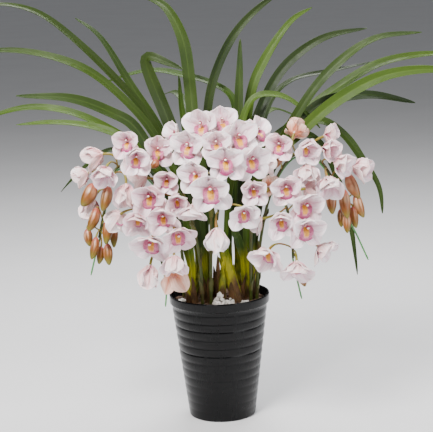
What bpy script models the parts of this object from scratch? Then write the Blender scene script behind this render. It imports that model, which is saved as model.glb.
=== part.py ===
"""Potted cymbidium orchid: a black ribbed pot, bark mix, eight leafy shoots and five arching flower spikes.

Metres, +Z up. The origin is the centre of the pot's foot, on the surface it stands on, and -Y is the front,
the side that the flowers face. Every leaf, shoot and flower spike grew as one piece, so each is one solid.
"""
import math
from collections import namedtuple

import bmesh
import bpy
from mathutils import Matrix, Vector

# ---- pot
RIM_DIAMETER = 0.180
POT_HEIGHT = 0.225
FOOT_DIAMETER = 0.120
POT_WALL = 0.0025
POT_FLOOR = 0.003
FOOT_RECESS = 0.004
FOOT_RING_WIDTH = 0.010
FOOT_PAD_RADIUS = 0.014
RIM_BAND_HEIGHT = 0.015
RIM_BAND_STEP = 0.0012
RIM_BAND_TAPER = 0.0005
EDGE_BREAK = 0.001
RIB_COUNT = 10
RIB_PITCH = 0.0155
RIB_DEPTH = 0.0016
RIB_HALF_WIDTH = 0.3 * RIB_PITCH
DRAIN_HOLES = 8
DRAIN_DIAMETER = 0.010
DRAIN_CIRCLE = 0.066
DRILL_DEPTH = 0.02
DRILL_SIDES = 8
POT_STEPS = 30

# ---- planting
MIX_TOP = 0.212
MIX_CROWN = 0.005
MIX_FLAT_SHARE = 0.6
TOUCH_GAP = 0.0003
STONE_TURN = 1.3
SHOOT_SIDES = 8
SHOOT_TOP_SHARE = 0.55
SHOOT_SWELL = 1.25
SHOOT_CUTS = 2

# ---- leaves
LEAF_THICKNESS = 0.0014
LEAF_STATIONS = 9
LEAF_FOLD = 0.35
LEAF_FOOT_SHARE = 0.55
LEAF_TIP_SHARE = 0.12
LEAF_FULL_FROM = 0.35
LEAF_FULL_TO = 0.70
LEAF_STEP = 0.02

# ---- flower spikes
STEM_RADIUS = 0.0030
STEM_TIP_SHARE = 0.7
STEM_POINTS = 15
STEM_BARE_POINTS = 5
PEDICEL_RADIUS = 0.0016
PEDICEL_POINTS = 3
PEDICEL_BEND = 0.030
PEDICEL_STAGGER = 0.2
PEDICEL_PLACES = 4
PETAL_THICKNESS = 0.0018
LOBES = 5
LOBE_CORNERS = 3
TIP_HALF_ANGLE = math.radians(20)
NOTCH_RATIO = 0.60
CUP_CLOSING = math.radians(60)
LIP_LENGTH = 0.016
LIP_BACK_RADIUS = 0.0084
LIP_FRONT_RADIUS = 0.0054
LIP_FORWARD = 0.35 * LIP_LENGTH
BUD_SIDES = 6
BUD_RINGS = 5
BUD_STALK_DEPTH = 0.3
WIRE_RADIUS = 0.0015
WIRE_SETBACK = 0.0075
WIRE_SIDE = (0, 1, -1)

# Colour, roughness and metallic value of each material.
FINISHES = {
    "pot_plastic": ((0.012, 0.012, 0.013), 0.38, 0.0),
    "bark": ((0.10, 0.055, 0.03), 0.95, 0.0),
    "pumice": ((0.72, 0.69, 0.64), 0.95, 0.0),
    "sheath": ((0.30, 0.26, 0.10), 0.6, 0.0),
    "leaf": ((0.10, 0.17, 0.035), 0.42, 0.0),
    "flower": ((0.86, 0.70, 0.70), 0.5, 0.0),
    "wire_coat": ((0.05, 0.20, 0.08), 0.35, 0.0),
}

Shoot = namedtuple("Shoot", "foot top radius")
Leaf = namedtuple("Leaf", "route width face")
# place is the middle of the flower; turn swings it from the front (-Y) towards +X, and tilt raises its face.
# cup says how far the petal tips stand forward, as a part of the radius.
Flower = namedtuple("Flower", "place turn tilt span cup")
Bud = namedtuple("Bud", "place turn tilt length width")

# The sheathed shoots that the leaves grow from, from the left round the front to the back.
SHOOTS = [
    Shoot((-0.050, -0.026), (-0.047, -0.026, 0.276), 0.0095),
    Shoot((-0.026, 0.004), (-0.025, 0.006, 0.282), 0.0085),
    Shoot((0.003, -0.030), (0.008, -0.028, 0.278), 0.0055),
    Shoot((0.035, -0.024), (0.008, -0.012, 0.302), 0.0105),
    Shoot((0.052, -0.002), (0.051, 0.000, 0.286), 0.0090),
    Shoot((0.062, 0.022), (0.060, 0.022, 0.290), 0.0085),
    Shoot((-0.030, 0.046), (-0.030, 0.048, 0.284), 0.0110),
    Shoot((0.038, 0.046), (0.040, 0.048, 0.284), 0.0115),
]

# Each leaf's route from its shoot to its tip, its greatest width, and the way that its upper face looks.
LEAVES = [
    Leaf([(-0.050, -0.027, 0.282), (-0.078, -0.015, 0.400), (-0.135, 0.010, 0.520), (-0.180, 0.014, 0.553),
          (-0.252, 0.002, 0.583), (-0.345, -0.010, 0.591)], 0.020, (0, -0.9, 0.45)),
    Leaf([(-0.044, -0.034, 0.282), (-0.066, -0.027, 0.400), (-0.150, -0.008, 0.500), (-0.206, 0.004, 0.529),
          (-0.279, 0.002, 0.541), (-0.349, 0.000, 0.539)], 0.015, (0, -0.7, 0.7)),
    Leaf([(-0.048, -0.019, 0.284), (-0.080, -0.003, 0.385), (-0.125, 0.030, 0.458), (-0.188, 0.034, 0.485),
          (-0.244, 0.036, 0.446), (-0.280, 0.040, 0.410)], 0.012, (0, -0.6, 0.8)),
    Leaf([(-0.031, 0.008, 0.290), (-0.056, 0.030, 0.400), (-0.110, 0.046, 0.510), (-0.162, 0.050, 0.575),
          (-0.225, 0.050, 0.628), (-0.300, 0.050, 0.657), (-0.377, 0.050, 0.667), (-0.440, 0.050, 0.655)],
         0.015, (0, -0.8, 0.6)),
    Leaf([(-0.018, 0.008, 0.290), (-0.026, 0.018, 0.400), (-0.054, 0.044, 0.528), (-0.061, 0.050, 0.612)],
         0.013, (0, -1, 0.2)),
    Leaf([(-0.025, -0.002, 0.290), (-0.038, 0.004, 0.400), (-0.076, 0.018, 0.521), (-0.095, 0.030, 0.571),
          (-0.112, 0.036, 0.616), (-0.121, 0.037, 0.647), (-0.113, 0.034, 0.652), (-0.085, 0.022, 0.641),
          (-0.052, 0.002, 0.628)], 0.024, (0, -1, 0.25)),
    Leaf([(0.003, -0.010, 0.312), (-0.018, -0.002, 0.400), (-0.036, 0.024, 0.520), (-0.041, 0.040, 0.590),
          (-0.050, 0.052, 0.672), (-0.078, 0.066, 0.732), (-0.108, 0.080, 0.750), (-0.140, 0.092, 0.760)],
         0.022, (0.1, -1, 0.2)),
    Leaf([(0.013, -0.014, 0.312), (0.022, 0.000, 0.400), (0.042, 0.026, 0.500), (0.068, 0.036, 0.568),
          (0.111, 0.038, 0.575), (0.143, 0.032, 0.561), (0.167, 0.022, 0.538), (0.187, 0.012, 0.516)],
         0.013, (0, -0.8, 0.6)),
    Leaf([(0.046, 0.008, 0.292), (0.044, 0.024, 0.380), (0.058, 0.044, 0.480), (0.096, 0.074, 0.570),
          (0.137, 0.086, 0.627), (0.204, 0.092, 0.670), (0.281, 0.100, 0.683)], 0.018, (0, -0.9, 0.45)),
    Leaf([(0.058, 0.003, 0.292), (0.064, 0.008, 0.370), (0.095, 0.008, 0.450), (0.163, 0.010, 0.567),
          (0.222, 0.018, 0.630), (0.287, 0.022, 0.671), (0.369, 0.020, 0.679)], 0.017, (0, -0.8, 0.6)),
    Leaf([(0.050, -0.007, 0.292), (0.058, -0.010, 0.380), (0.090, -0.010, 0.460), (0.143, -0.004, 0.505),
          (0.206, -0.004, 0.559), (0.294, 0.000, 0.605), (0.385, -0.004, 0.616), (0.440, -0.010, 0.602)],
         0.022, (0, -0.9, 0.45)),
    Leaf([(0.055, 0.026, 0.298), (0.063, 0.034, 0.400), (0.095, 0.046, 0.480), (0.149, 0.050, 0.520),
          (0.198, 0.044, 0.558), (0.279, 0.041, 0.569), (0.361, 0.050, 0.551)], 0.021, (0, -0.9, 0.45)),
    Leaf([(0.066, 0.018, 0.298), (0.082, 0.024, 0.400), (0.136, 0.032, 0.500), (0.187, 0.032, 0.528),
          (0.232, 0.034, 0.498), (0.262, 0.045, 0.455), (0.296, 0.060, 0.399), (0.303, 0.070, 0.347)],
         0.017, (0, -0.8, 0.6)),
    Leaf([(0.060, 0.031, 0.298), (0.069, 0.046, 0.390), (0.100, 0.062, 0.470), (0.155, 0.074, 0.530),
          (0.219, 0.072, 0.576), (0.301, 0.074, 0.622), (0.397, 0.080, 0.636), (0.450, 0.084, 0.628)],
         0.018, (0, -0.8, 0.6)),
    Leaf([(-0.037, 0.042, 0.292), (-0.056, 0.060, 0.400), (-0.118, 0.074, 0.535), (-0.176, 0.066, 0.609),
          (-0.237, 0.045, 0.676), (-0.299, 0.018, 0.731), (-0.362, -0.010, 0.751), (-0.420, -0.030, 0.745)],
         0.015, (0, -0.8, 0.6)),
    Leaf([(-0.033, 0.056, 0.292), (-0.046, 0.082, 0.400), (-0.100, 0.096, 0.513), (-0.147, 0.104, 0.588),
          (-0.203, 0.116, 0.681), (-0.248, 0.130, 0.715)], 0.014, (0, -1, 0.4)),
    Leaf([(-0.039, 0.049, 0.292), (-0.068, 0.080, 0.390), (-0.130, 0.100, 0.470), (-0.210, 0.094, 0.525),
          (-0.273, 0.096, 0.551), (-0.338, 0.100, 0.558), (-0.400, 0.105, 0.545), (-0.440, 0.110, 0.525)],
         0.014, (0, -0.8, 0.6)),
    Leaf([(-0.023, 0.043, 0.292), (-0.019, 0.056, 0.400), (-0.012, 0.066, 0.545), (0.008, 0.074, 0.622),
          (0.048, 0.086, 0.691), (0.103, 0.100, 0.739), (0.150, 0.112, 0.762)], 0.016, (0.2, -1, 0.2)),
    Leaf([(0.034, 0.044, 0.292), (0.034, 0.052, 0.400), (0.043, 0.060, 0.532), (0.047, 0.070, 0.599),
          (0.051, 0.082, 0.672)], 0.017, (0, -1, 0.1)),
    Leaf([(0.036, 0.052, 0.292), (0.046, 0.074, 0.400), (0.066, 0.094, 0.561), (0.095, 0.108, 0.631),
          (0.143, 0.124, 0.697), (0.185, 0.140, 0.721)], 0.018, (0, -1, 0.3)),
    Leaf([(0.050, 0.053, 0.292), (0.064, 0.086, 0.400), (0.096, 0.118, 0.535), (0.141, 0.132, 0.588),
          (0.225, 0.145, 0.604), (0.300, 0.160, 0.617)], 0.012, (0, -0.6, 0.8)),
    Leaf([(0.048, 0.044, 0.292), (0.080, 0.062, 0.400), (0.140, 0.086, 0.490), (0.180, 0.088, 0.490),
          (0.212, 0.082, 0.440), (0.242, 0.076, 0.338), (0.252, 0.072, 0.270), (0.256, 0.070, 0.233)],
         0.014, (0.4, -0.9, 0.3)),
    Leaf([(0.022, 0.056, 0.292), (0.026, 0.074, 0.420), (0.039, 0.088, 0.554), (-0.002, 0.096, 0.592),
          (-0.045, 0.104, 0.605), (-0.105, 0.112, 0.618), (-0.163, 0.120, 0.608), (-0.204, 0.128, 0.593)],
         0.013, (0, -0.6, 0.8)),
    Leaf([(-0.028, 0.063, 0.292), (-0.030, 0.106, 0.400), (-0.042, 0.170, 0.510), (-0.070, 0.240, 0.560),
          (-0.110, 0.300, 0.545)], 0.019, (0, -0.4, 0.9)),
    Leaf([(0.040, 0.061, 0.292), (0.044, 0.112, 0.400), (0.070, 0.190, 0.490), (0.110, 0.260, 0.520),
          (0.160, 0.320, 0.500)], 0.020, (0, -0.4, 0.9)),
    Leaf([(0.043, -0.010, 0.292), (0.036, -0.034, 0.330), (0.031, -0.044, 0.342), (0.030, -0.046, 0.371)],
         0.013, (0, -1, 0.1)),
]

# The flower spikes: the stem's route from the mix to its tip, its open flowers and its buds.
SPIKE_STEMS = [
    [(-0.064, 0.006, MIX_TOP), (-0.066, 0.016, 0.300), (-0.088, 0.022, 0.385), (-0.120, 0.004, 0.440),
     (-0.150, -0.026, 0.464), (-0.174, -0.045, 0.462), (-0.187, -0.055, 0.427), (-0.198, -0.060, 0.384),
     (-0.207, -0.064, 0.345)],
    [(-0.030, -0.042, MIX_TOP), (-0.033, -0.046, 0.300), (-0.048, -0.050, 0.380), (-0.074, -0.060, 0.432),
     (-0.100, -0.080, 0.432), (-0.112, -0.102, 0.395), (-0.108, -0.118, 0.350), (-0.096, -0.128, 0.310)],
    [(-0.015, -0.042, MIX_TOP), (-0.013, -0.038, 0.300), (-0.008, -0.018, 0.400), (0.004, -0.018, 0.475),
     (0.012, -0.055, 0.500), (0.012, -0.095, 0.470), (0.006, -0.122, 0.425), (0.000, -0.140, 0.385)],
    [(0.056, -0.022, MIX_TOP), (0.058, -0.028, 0.300), (0.062, -0.036, 0.370), (0.078, -0.050, 0.418),
     (0.100, -0.072, 0.424), (0.119, -0.092, 0.398), (0.127, -0.110, 0.354), (0.128, -0.124, 0.312)],
    [(0.067, -0.016, MIX_TOP), (0.073, -0.016, 0.300), (0.091, -0.012, 0.390), (0.116, -0.012, 0.448),
     (0.145, -0.016, 0.476), (0.177, -0.036, 0.470), (0.199, -0.050, 0.443), (0.214, -0.058, 0.410),
     (0.223, -0.060, 0.376)],
]

# Where each training wire carries on past the tip of its stem. The middle spike has no wire.
WIRE_ENDS = [
    [(-0.217, -0.064, 0.312), (-0.226, -0.066, 0.278)],
    [(-0.090, -0.146, 0.273), (-0.093, -0.148, 0.238)],
    [],
    [(0.134, -0.138, 0.280), (0.142, -0.140, 0.243)],
    [(0.242, -0.060, 0.345), (0.266, -0.060, 0.290)],
]

FLOWERS = [
    [Flower((-0.150, -0.066, 0.512), -10, 10, 0.050, 0.30),
     Flower((-0.136, -0.092, 0.490), 8, -2, 0.054, 0.35),
     Flower((-0.101, -0.050, 0.494), 10, 12, 0.054, 0.20),
     Flower((-0.187, -0.094, 0.473), -15, -30, 0.046, 0.50),
     Flower((-0.195, -0.050, 0.490), -110, -10, 0.046, 0.50),
     Flower((-0.222, -0.050, 0.458), -110, -15, 0.038, 0.50),
     Flower((-0.154, -0.096, 0.444), -5, -60, 0.042, 0.75),
     Flower((-0.215, -0.036, 0.409), -60, -60, 0.036, 0.70)],
    [Flower((-0.084, -0.096, 0.451), 0, -2, 0.046, 0.35),
     Flower((-0.112, -0.118, 0.428), -10, -8, 0.064, 0.25),
     Flower((-0.119, -0.070, 0.449), -110, 0, 0.046, 0.40),
     Flower((-0.067, -0.132, 0.422), 5, -5, 0.044, 0.50),
     Flower((-0.091, -0.144, 0.398), 0, -10, 0.056, 0.30),
     Flower((-0.133, -0.126, 0.394), -10, -20, 0.052, 0.40),
     Flower((-0.165, -0.096, 0.392), -150, -30, 0.046, 0.50),
     Flower((-0.111, -0.152, 0.359), -12, -30, 0.068, 0.20),
     Flower((-0.068, -0.164, 0.372), 12, -25, 0.062, 0.20),
     Flower((-0.074, -0.168, 0.332), 0, -60, 0.044, 0.55),
     Flower((-0.116, -0.138, 0.311), -40, -72, 0.040, 0.80),
     Flower((-0.077, -0.146, 0.303), 165, -50, 0.050, 0.60)],
    [Flower((-0.021, -0.080, 0.536), -12, 20, 0.064, 0.12),
     Flower((0.013, -0.074, 0.540), 5, 32, 0.056, 0.15),
     Flower((0.038, -0.094, 0.517), 15, 15, 0.066, 0.12),
     Flower((-0.044, -0.092, 0.506), -15, 8, 0.062, 0.15),
     Flower((0.002, -0.114, 0.511), 0, 15, 0.054, 0.25),
     Flower((0.016, -0.138, 0.485), 3, 6, 0.062, 0.15),
     Flower((0.058, -0.116, 0.484), 20, 0, 0.062, 0.15),
     Flower((0.068, -0.062, 0.519), 50, 38, 0.058, 0.15),
     Flower((-0.062, -0.060, 0.519), -60, 25, 0.052, 0.20),
     Flower((0.080, -0.092, 0.470), 115, 0, 0.036, 0.40),
     Flower((-0.032, -0.138, 0.465), -15, 0, 0.058, 0.20),
     Flower((-0.010, -0.166, 0.445), 0, -6, 0.072, 0.12),
     Flower((-0.040, -0.152, 0.415), -15, -50, 0.052, 0.30),
     Flower((0.044, -0.150, 0.403), 5, -18, 0.056, 0.25),
     Flower((-0.002, -0.166, 0.377), 8, -72, 0.042, 0.80)],
    [Flower((0.062, -0.124, 0.434), 5, 0, 0.048, 0.30),
     Flower((0.089, -0.092, 0.429), 165, 15, 0.040, 0.40),
     Flower((0.117, -0.118, 0.435), 5, 0, 0.056, 0.25),
     Flower((0.152, -0.096, 0.427), 125, 5, 0.048, 0.35),
     Flower((0.146, -0.134, 0.407), 20, -8, 0.062, 0.20),
     Flower((0.107, -0.152, 0.386), 0, -5, 0.052, 0.35),
     Flower((0.147, -0.154, 0.374), 14, -14, 0.064, 0.18),
     Flower((0.076, -0.118, 0.381), -70, -5, 0.044, 0.40),
     Flower((0.086, -0.142, 0.331), -28, -30, 0.060, 0.30),
     Flower((0.170, -0.134, 0.334), 60, -25, 0.050, 0.35),
     Flower((0.132, -0.158, 0.313), 0, -45, 0.062, 0.30)],
    [Flower((0.110, -0.076, 0.501), -5, 8, 0.050, 0.30),
     Flower((0.138, -0.038, 0.514), 160, 25, 0.040, 0.60),
     Flower((0.154, -0.082, 0.498), 15, -12, 0.050, 0.40),
     Flower((0.190, -0.044, 0.509), 75, 20, 0.048, 0.30),
     Flower((0.187, -0.068, 0.492), 40, 0, 0.038, 0.60),
     Flower((0.156, -0.090, 0.467), 5, -45, 0.043, 0.60),
     Flower((0.206, -0.074, 0.470), 50, -10, 0.046, 0.50),
     Flower((0.190, -0.098, 0.446), 10, -35, 0.050, 0.50),
     Flower((0.237, -0.054, 0.455), 72, 0, 0.042, 0.60)],
]

BUDS = [
    [Bud((-0.223, -0.062, 0.421), -55, -55, 0.046, 0.027),
     Bud((-0.191, -0.088, 0.419), -35, -65, 0.047, 0.021),
     Bud((-0.216, -0.072, 0.379), -45, -60, 0.045, 0.020),
     Bud((-0.191, -0.084, 0.360), -20, -70, 0.046, 0.019),
     Bud((-0.226, -0.054, 0.344), 20, -70, 0.032, 0.017),
     Bud((-0.215, -0.084, 0.331), -30, -65, 0.041, 0.017),
     Bud((-0.181, -0.064, 0.349), 0, -70, 0.045, 0.016),
     Bud((-0.206, -0.070, 0.315), -25, -70, 0.032, 0.015),
     Bud((-0.191, -0.078, 0.318), 10, -70, 0.039, 0.018),
     Bud((-0.105, -0.074, 0.474), -60, -45, 0.019, 0.015)],
    [],
    [],
    [Bud((0.143, -0.136, 0.280), 30, -65, 0.032, 0.016)],
    [Bud((0.102, -0.070, 0.473), -55, -55, 0.035, 0.024),
     Bud((0.239, -0.052, 0.421), 50, -60, 0.049, 0.023),
     Bud((0.198, -0.084, 0.401), 5, -70, 0.046, 0.020),
     Bud((0.222, -0.084, 0.396), 15, -70, 0.052, 0.021),
     Bud((0.249, -0.058, 0.387), 40, -65, 0.045, 0.019),
     Bud((0.215, -0.072, 0.369), 0, -70, 0.033, 0.014),
     Bud((0.224, -0.086, 0.363), 0, -70, 0.037, 0.016),
     Bud((0.239, -0.064, 0.368), 20, -70, 0.039, 0.017)],
]

# Lumps of pumice that lie on the mix: centre, and size along each axis.
STONES = [
    ((0.000, -0.051), (0.015, 0.013, 0.012)),
    ((0.018, -0.047), (0.012, 0.011, 0.010)),
    ((-0.068, -0.018), (0.014, 0.012, 0.011)),
    ((0.046, -0.046), (0.013, 0.012, 0.010)),
]


def remove_all_objects():
    for item in list(bpy.data.objects):
        bpy.data.objects.remove(item, do_unlink=True)


def new_collection(name):
    collection = bpy.data.collections.new(name)
    bpy.context.scene.collection.children.link(collection)
    return collection


def make_finish(name):
    colour, roughness, metallic = FINISHES[name]
    material = bpy.data.materials.new(name)
    material.use_nodes = True
    shader = material.node_tree.nodes["Principled BSDF"]
    shader.inputs["Base Color"].default_value = (*colour, 1.0)
    shader.inputs["Roughness"].default_value = roughness
    shader.inputs["Metallic"].default_value = metallic
    return material


def add_object(name, mesh, collection, finish=None):
    item = bpy.data.objects.new(name, mesh)
    collection.objects.link(item)
    if finish:
        mesh.materials.append(finish)
    return item


def mark_helper(item):
    item.hide_render = True
    item.display_type = "WIRE"


def mesh_from(build, name):
    """Run one bmesh-building function and return its result as a mesh."""
    bm = bmesh.new()
    build(bm)
    mesh = bpy.data.meshes.new(name)
    bm.to_mesh(mesh)
    bm.free()
    return mesh


def smooth_point(points, t):
    """The point at t (0 to 1) on a Catmull-Rom curve through the given points."""
    spans = len(points) - 1
    place = min(max(t, 0.0), 1.0) * spans
    index = min(int(place), spans - 1)
    u = place - index
    p1 = Vector(points[index])
    p2 = Vector(points[index + 1])
    p0 = Vector(points[index - 1]) if index else p1 * 2 - p2
    p3 = Vector(points[index + 2]) if index + 2 <= spans else p2 * 2 - p1
    return 0.5 * (2 * p1 + (p2 - p0) * u + (2 * p0 - 5 * p1 + 4 * p2 - p3) * u**2
                  + (3 * p1 - p0 - 3 * p2 + p3) * u**3)


def smooth_route(points, count):
    return [smooth_point(points, i / (count - 1)) for i in range(count)]


def tube_mesh(points, radius, roundness, tip_share=1.0):
    """A tube with flat ends along the points, narrowing evenly to tip_share of its radius at the last."""
    curve = bpy.data.curves.new("tube", "CURVE")
    curve.dimensions = "3D"
    curve.bevel_depth = radius
    curve.bevel_resolution = roundness
    curve.use_fill_caps = True
    spline = curve.splines.new("POLY")
    spline.points.add(len(points) - 1)
    for index, (target, point) in enumerate(zip(spline.points, points)):
        target.co = (*point, 1.0)
        target.radius = 1 + (tip_share - 1) * index / (len(points) - 1)
    guide = bpy.data.objects.new("tube_guide", curve)
    bpy.context.scene.collection.objects.link(guide)
    bpy.context.view_layer.update()
    evaluated = guide.evaluated_get(bpy.context.evaluated_depsgraph_get())
    mesh = bpy.data.meshes.new_from_object(evaluated)
    bpy.data.objects.remove(guide, do_unlink=True)
    bm = bmesh.new()
    bm.from_mesh(mesh)
    bmesh.ops.remove_doubles(bm, verts=bm.verts, dist=1e-5)
    bm.to_mesh(mesh)
    bm.free()
    return mesh


def add_solidify(item, thickness, offset):
    shell = item.modifiers.new("thickness", "SOLIDIFY")
    shell.thickness = thickness
    shell.offset = offset


def add_boolean(item, operation, collection):
    joint = item.modifiers.new(operation.lower(), "BOOLEAN")
    joint.operation = operation
    joint.operand_type = "COLLECTION"
    joint.collection = collection
    joint.solver = "EXACT"


# ---------------------------------------------------------------- pot

def pot_wall_radius(z):
    """Outer radius of the plain tapering wall at height z."""
    foot = FOOT_DIAMETER / 2
    rim = RIM_DIAMETER / 2 - RIM_BAND_STEP
    return foot + (rim - foot) * z / POT_HEIGHT


def pot_profile():
    """The pot's outline, from the inner edge of the rim over the outside and back up the inside."""
    rim = RIM_DIAMETER / 2
    band_foot = POT_HEIGHT - RIM_BAND_HEIGHT
    points = [(rim - POT_WALL, POT_HEIGHT), (rim, POT_HEIGHT - EDGE_BREAK), (rim - RIM_BAND_TAPER, band_foot),
              (pot_wall_radius(band_foot), band_foot - EDGE_BREAK)]
    for rib in range(RIB_COUNT):
        groove = band_foot - (rib + 0.5) * RIB_PITCH
        rib_foot = groove + RIB_HALF_WIDTH
        points.append((pot_wall_radius(rib_foot), rib_foot))
        points.append((pot_wall_radius(groove) - RIB_DEPTH, groove))
    foot = FOOT_DIAMETER / 2
    ring = foot - FOOT_RING_WIDTH
    points += [(foot, FOOT_RECESS), (foot - EDGE_BREAK, 0.0), (ring, 0.0), (ring - EDGE_BREAK, FOOT_RECESS),
               (FOOT_PAD_RADIUS + EDGE_BREAK, FOOT_RECESS), (FOOT_PAD_RADIUS, 0.0), (0.0, 0.0)]
    floor_top = FOOT_RECESS + POT_FLOOR
    points += [(0.0, floor_top), (pot_wall_radius(floor_top) - POT_WALL - RIB_DEPTH, floor_top)]
    points.append((pot_wall_radius(band_foot) - POT_WALL - RIB_DEPTH, band_foot))
    return points


def profile_mesh(name, points, closed):
    """A flat outline in the XZ plane, ready to be turned round the Z axis."""
    def build(bm):
        verts = [bm.verts.new((x, 0.0, z)) for x, z in points]
        for first, second in zip(verts, verts[1:]):
            bm.edges.new((first, second))
        if closed:
            bm.edges.new((verts[-1], verts[0]))
    return mesh_from(build, name)


def turned_object(name, points, closed, collection, finish):
    item = add_object(name, profile_mesh(name, points, closed), collection, finish)
    screw = item.modifiers.new("turned", "SCREW")
    screw.angle = math.tau
    screw.steps = POT_STEPS
    screw.render_steps = POT_STEPS
    screw.use_merge_vertices = True
    screw.merge_threshold = 0.00005
    screw.use_smooth_shade = True
    return item


def drain_drill_mesh():
    def build(bm):
        bmesh.ops.create_cone(bm, cap_ends=True, segments=DRILL_SIDES, radius1=DRAIN_DIAMETER / 2,
                              radius2=DRAIN_DIAMETER / 2, depth=DRILL_DEPTH)
    return mesh_from(build, "drain_drill")


def make_pot(parts, cutters, finish):
    """The ribbed pot, with a ring of drain holes through its raised floor."""
    pot = turned_object("pot", pot_profile(), True, parts, finish)
    for index in range(DRAIN_HOLES):
        angle = math.tau * (index + 0.5) / DRAIN_HOLES
        radius = DRAIN_CIRCLE / 2
        cutter = add_object(f"drain_drill_{index + 1}", drain_drill_mesh(), cutters)
        cutter.location = (radius * math.cos(angle), radius * math.sin(angle), FOOT_RECESS)
        mark_helper(cutter)
    add_boolean(pot, "DIFFERENCE", cutters)


def make_mix(parts, finish):
    """The bark mix fills the pot and crowns a little in the middle."""
    floor = FOOT_RECESS + POT_FLOOR + TOUCH_GAP
    clearance = POT_WALL + RIB_DEPTH + TOUCH_GAP
    low = pot_wall_radius(floor) - clearance
    high = pot_wall_radius(MIX_TOP) - clearance - EDGE_BREAK
    points = [(0.0, MIX_TOP), (high * MIX_FLAT_SHARE, MIX_TOP), (high, MIX_TOP - MIX_CROWN), (low, floor),
              (0.0, floor)]
    turned_object("potting_mix", points, False, parts, finish)


def make_stones(parts, finish):
    """Faceted lumps, each turned a different way and set down on top of the mix."""
    for index, ((x, y), size) in enumerate(STONES):
        mesh = mesh_from(lambda bm: bmesh.ops.create_icosphere(bm, subdivisions=1, radius=0.5), "stone")
        mesh.transform(Matrix.Rotation(index * STONE_TURN, 4, "Z") @ Matrix.Diagonal((*size, 1.0)))
        low = min(v.co.z for v in mesh.vertices)
        stone = add_object(f"pumice_{index + 1}", mesh, parts, finish)
        stone.location = (x, y, MIX_TOP + TOUCH_GAP - low)


# ---------------------------------------------------------------- shoots and leaves

def make_shoots(parts, finish):
    """Slim bulbs wrapped in leaf sheaths: swollen a third of the way up, narrow at the top."""
    for index, shoot in enumerate(SHOOTS):
        foot = Vector((*shoot.foot, MIX_TOP + TOUCH_GAP))
        top = Vector(shoot.top)

        def build(bm):
            bmesh.ops.create_cone(bm, cap_ends=True, segments=SHOOT_SIDES, radius1=shoot.radius,
                                  radius2=shoot.radius * SHOOT_TOP_SHARE, depth=1.0)
            bmesh.ops.translate(bm, verts=bm.verts, vec=(0, 0, 0.5))
            uprights = [edge for edge in bm.edges if edge.verts[0].co.z != edge.verts[1].co.z]
            bmesh.ops.subdivide_edges(bm, edges=uprights, cuts=SHOOT_CUTS)
            for vert in bm.verts:
                height = vert.co.z
                swell = SHOOT_SWELL if 0 < height < 0.5 else 1.0
                centre = foot.lerp(top, height)
                vert.co = (centre.x + vert.co.x * swell, centre.y + vert.co.y * swell, centre.z)
        add_object(f"shoot_{index + 1}", mesh_from(build, "shoot"), parts, finish)


def leaf_half_width(t, width):
    """Half the blade's width at t: narrow at the sheath, full in the middle and drawn out to the tip."""
    rise = LEAF_FOOT_SHARE + (1 - LEAF_FOOT_SHARE) * math.sin(min(t / LEAF_FULL_FROM, 1.0) * math.pi / 2)
    fall = math.sqrt(max(1 - t, 0.0) / (1 - LEAF_FULL_TO)) if t > LEAF_FULL_TO else 1.0
    return width / 2 * rise * max(fall, LEAF_TIP_SHARE)


def make_leaf(name, leaf, parts, finish):
    """A strap-shaped blade with a shallow fold along its middle, bent along its route."""
    def build(bm):
        bmesh.ops.create_grid(bm, x_segments=2, y_segments=LEAF_STATIONS, size=1.0)
        for vert in bm.verts:
            across = vert.co.x
            t = (vert.co.y + 1) / 2
            here = smooth_point(leaf.route, t)
            along = smooth_point(leaf.route, t + LEAF_STEP) - smooth_point(leaf.route, t - LEAF_STEP)
            side = along.cross(Vector(leaf.face)).normalized()
            face = side.cross(along).normalized()
            half = leaf_half_width(t, leaf.width)
            vert.co = here + side * across * half + face * abs(across) * half * LEAF_FOLD
    blade = add_object(name, mesh_from(build, name), parts, finish)
    add_solidify(blade, LEAF_THICKNESS, 0.0)
    blade.data.shade_smooth()


# ---------------------------------------------------------------- flower spikes

def facing(turn, tilt):
    """The direction that a flower or bud looks in."""
    turn = math.radians(turn)
    tilt = math.radians(tilt)
    return Vector((math.sin(turn) * math.cos(tilt), -math.cos(turn) * math.cos(tilt), math.sin(tilt)))


def aimed(place, direction):
    """Carries a shape made looking along +Z to its place, looking along the direction."""
    return Matrix.Translation(place) @ direction.to_track_quat("Z", "Y").to_matrix().to_4x4()


def flower_mesh(flower):
    """Five petals as one notched dish of even thickness, its rim forward by the flower's cup."""
    radius = flower.span / 2
    closing = math.cos(flower.cup * CUP_CLOSING)
    corner_angles = (-TIP_HALF_ANGLE, TIP_HALF_ANGLE, math.pi / LOBES)
    corner_reaches = (radius, radius, radius * NOTCH_RATIO)

    def build(bm):
        bmesh.ops.create_circle(bm, cap_ends=True, cap_tris=True, segments=LOBES * LOBE_CORNERS, radius=1.0)
        rim = sorted((v for v in bm.verts if v.co.length > 0.5), key=lambda v: math.atan2(v.co.y, v.co.x))
        for index, vert in enumerate(rim):
            lobe, corner = divmod(index, LOBE_CORNERS)
            angle = math.tau * lobe / LOBES + corner_angles[corner]
            reach = corner_reaches[corner]
            width = reach * closing
            vert.co = (width * math.cos(angle), width * math.sin(angle), reach * flower.cup)
        bmesh.ops.solidify(bm, geom=bm.faces[:], thickness=PETAL_THICKNESS)
        bmesh.ops.recalc_face_normals(bm, faces=bm.faces)
    mesh = mesh_from(build, "petals")
    mesh.transform(aimed(Vector(flower.place), facing(flower.turn, flower.tilt)))
    return mesh


def lip_mesh(flower):
    """The lip and the column over it, as one blunt block standing out of the middle of the flower."""
    def build(bm):
        bmesh.ops.create_cone(bm, cap_ends=True, segments=4, radius1=LIP_BACK_RADIUS,
                              radius2=LIP_FRONT_RADIUS, depth=LIP_LENGTH)
    mesh = mesh_from(build, "lip")
    look = facing(flower.turn, flower.tilt)
    mesh.transform(aimed(Vector(flower.place) + look * LIP_FORWARD, look))
    return mesh


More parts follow.
